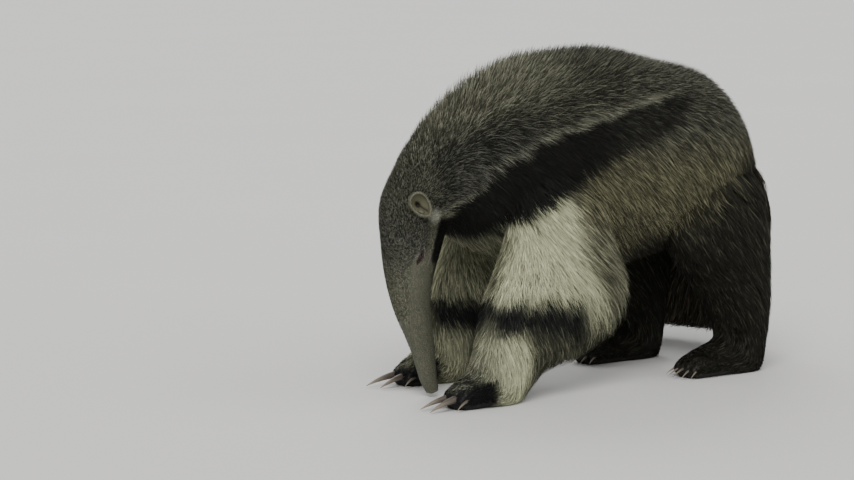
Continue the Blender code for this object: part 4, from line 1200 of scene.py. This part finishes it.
def grow_ear_down(material):
    """Fine pale hairs on the back of each ear and over its rim."""
    count = DOWN_COUNT
    for name, side in SIDES:
        chance = np.random.default_rng(SEED + 50 + side)
        part = chance.uniform(0.20, 0.53, count)
        turn = chance.uniform(-math.pi, math.pi, count)
        place = ear_surface(side, part, turn)[0]
        onward = ear_surface(side, part + 0.02, turn)[0] - place
        aside = ear_surface(side, part, turn + 0.02)[0] - place
        normal = unit(np.cross(onward, aside))
        centre = ear_surface(side, np.full(1, 0.62), np.zeros(1))[0]
        normal *= np.sign((normal * (place - centre)).sum(axis=1))[:, None]
        way = unit(unit(onward) * np.where(part > 0.5, -1, 1)[:, None] + normal * 0.35
                   + chance.normal(0, 0.25, (count, 3)))
        length = chance.uniform(*DOWN_LENGTH, count)
        line = place[:, None] + way[:, None] * (length[:, None] * np.array(TUFTS[2][0]))[:, :, None]
        base = np.zeros((count, 4, 3))
        paint(base, "edge", np.ones(count))
        root, tip = colours_from(base, chance.random(count) < base[:, 3, 0])
        points = ribbons(line, normal, np.full(count, DOWN_WIDTH), TUFTS[2][1], chance)
        spot = np.stack([turn / (2 * math.pi) + 0.5, part], 1)
        build_tufts("ear_" + name, 2, points, (root, tip, chance.random(count)), spot, material)


def form_trees():
    """Search trees of the parts of the body, to keep hair of one from growing inside another."""
    forms = [("spine", SPINE_ROWS, spine_share, len(SPINE) - 1.0),
             ("tail", TAIL_ROWS, tail_share, TAIL_SEARCH_END)]
    for name, side in SIDES:
        forms.append(("foreleg_" + name, FORE_ROWS[side], leg_share, len(LEFT_FORELEG) - 1.0))
        forms.append(("hindleg_" + name, HIND_ROWS[side], leg_share, len(HIND_LEG) - 1.0))
    trees = {}
    for name, rows, share, last in forms:
        points, _ = form_grid(rows, share, np.linspace(0.0, last, SEARCH_RINGS), SEARCH_SIDES)
        form = add_mesh("form_" + name, points, SEARCH_RINGS, SEARCH_SIDES)
        face_outwards(form.data)
        trees[name] = BVHTree.FromPolygons([v.co for v in form.data.vertices],
                                           [list(p.vertices) for p in form.data.polygons])
        bpy.data.objects.remove(form)
    return trees


def make_stage():
    bpy.ops.mesh.primitive_plane_add(size=FLOOR_SIZE)
    floor = bpy.context.object
    floor.name = "floor"
    floor.data.materials.append(floor_material())


def add_light(name, place, spread, strength, colour):
    """A far, wide and soft light that shines from this side and lights the floor evenly."""
    light = bpy.data.lights.new(name, "SUN")
    light.angle = math.radians(spread)
    light.energy = strength
    light.color = colour
    made = show(name, light)
    made.location = place
    made.rotation_euler = (-Vector(place)).to_track_quat("-Z", "Y").to_euler()


def make_lights():
    for light in LIGHTS:
        add_light(*light)
    world = bpy.data.worlds.new("studio")
    world.use_nodes = True
    background = world.node_tree.nodes["Background"]
    background.inputs["Color"].default_value = WORLD_COLOUR
    background.inputs["Strength"].default_value = WORLD_STRENGTH
    bpy.context.scene.world = world


def make_camera():
    camera = show("camera", bpy.data.cameras.new("camera"))
    camera.location = CAMERA + Vector(SHIFT)
    camera.rotation_euler = (AIM - CAMERA).to_track_quat("-Z", "Y").to_euler()
    camera.data.lens = LENS
    bpy.context.scene.camera = camera


make_camera()
make_lights()
make_stage()
make_skin(skin_material())
make_eyes(eye_material())
make_ears(ear_material())
make_claws(claw_material())
hair = coat_material()
trees = form_trees()
for order, coat in enumerate(COATS):
    grow_coat(coat, order, hair, trees)
grow_ear_down(hair)
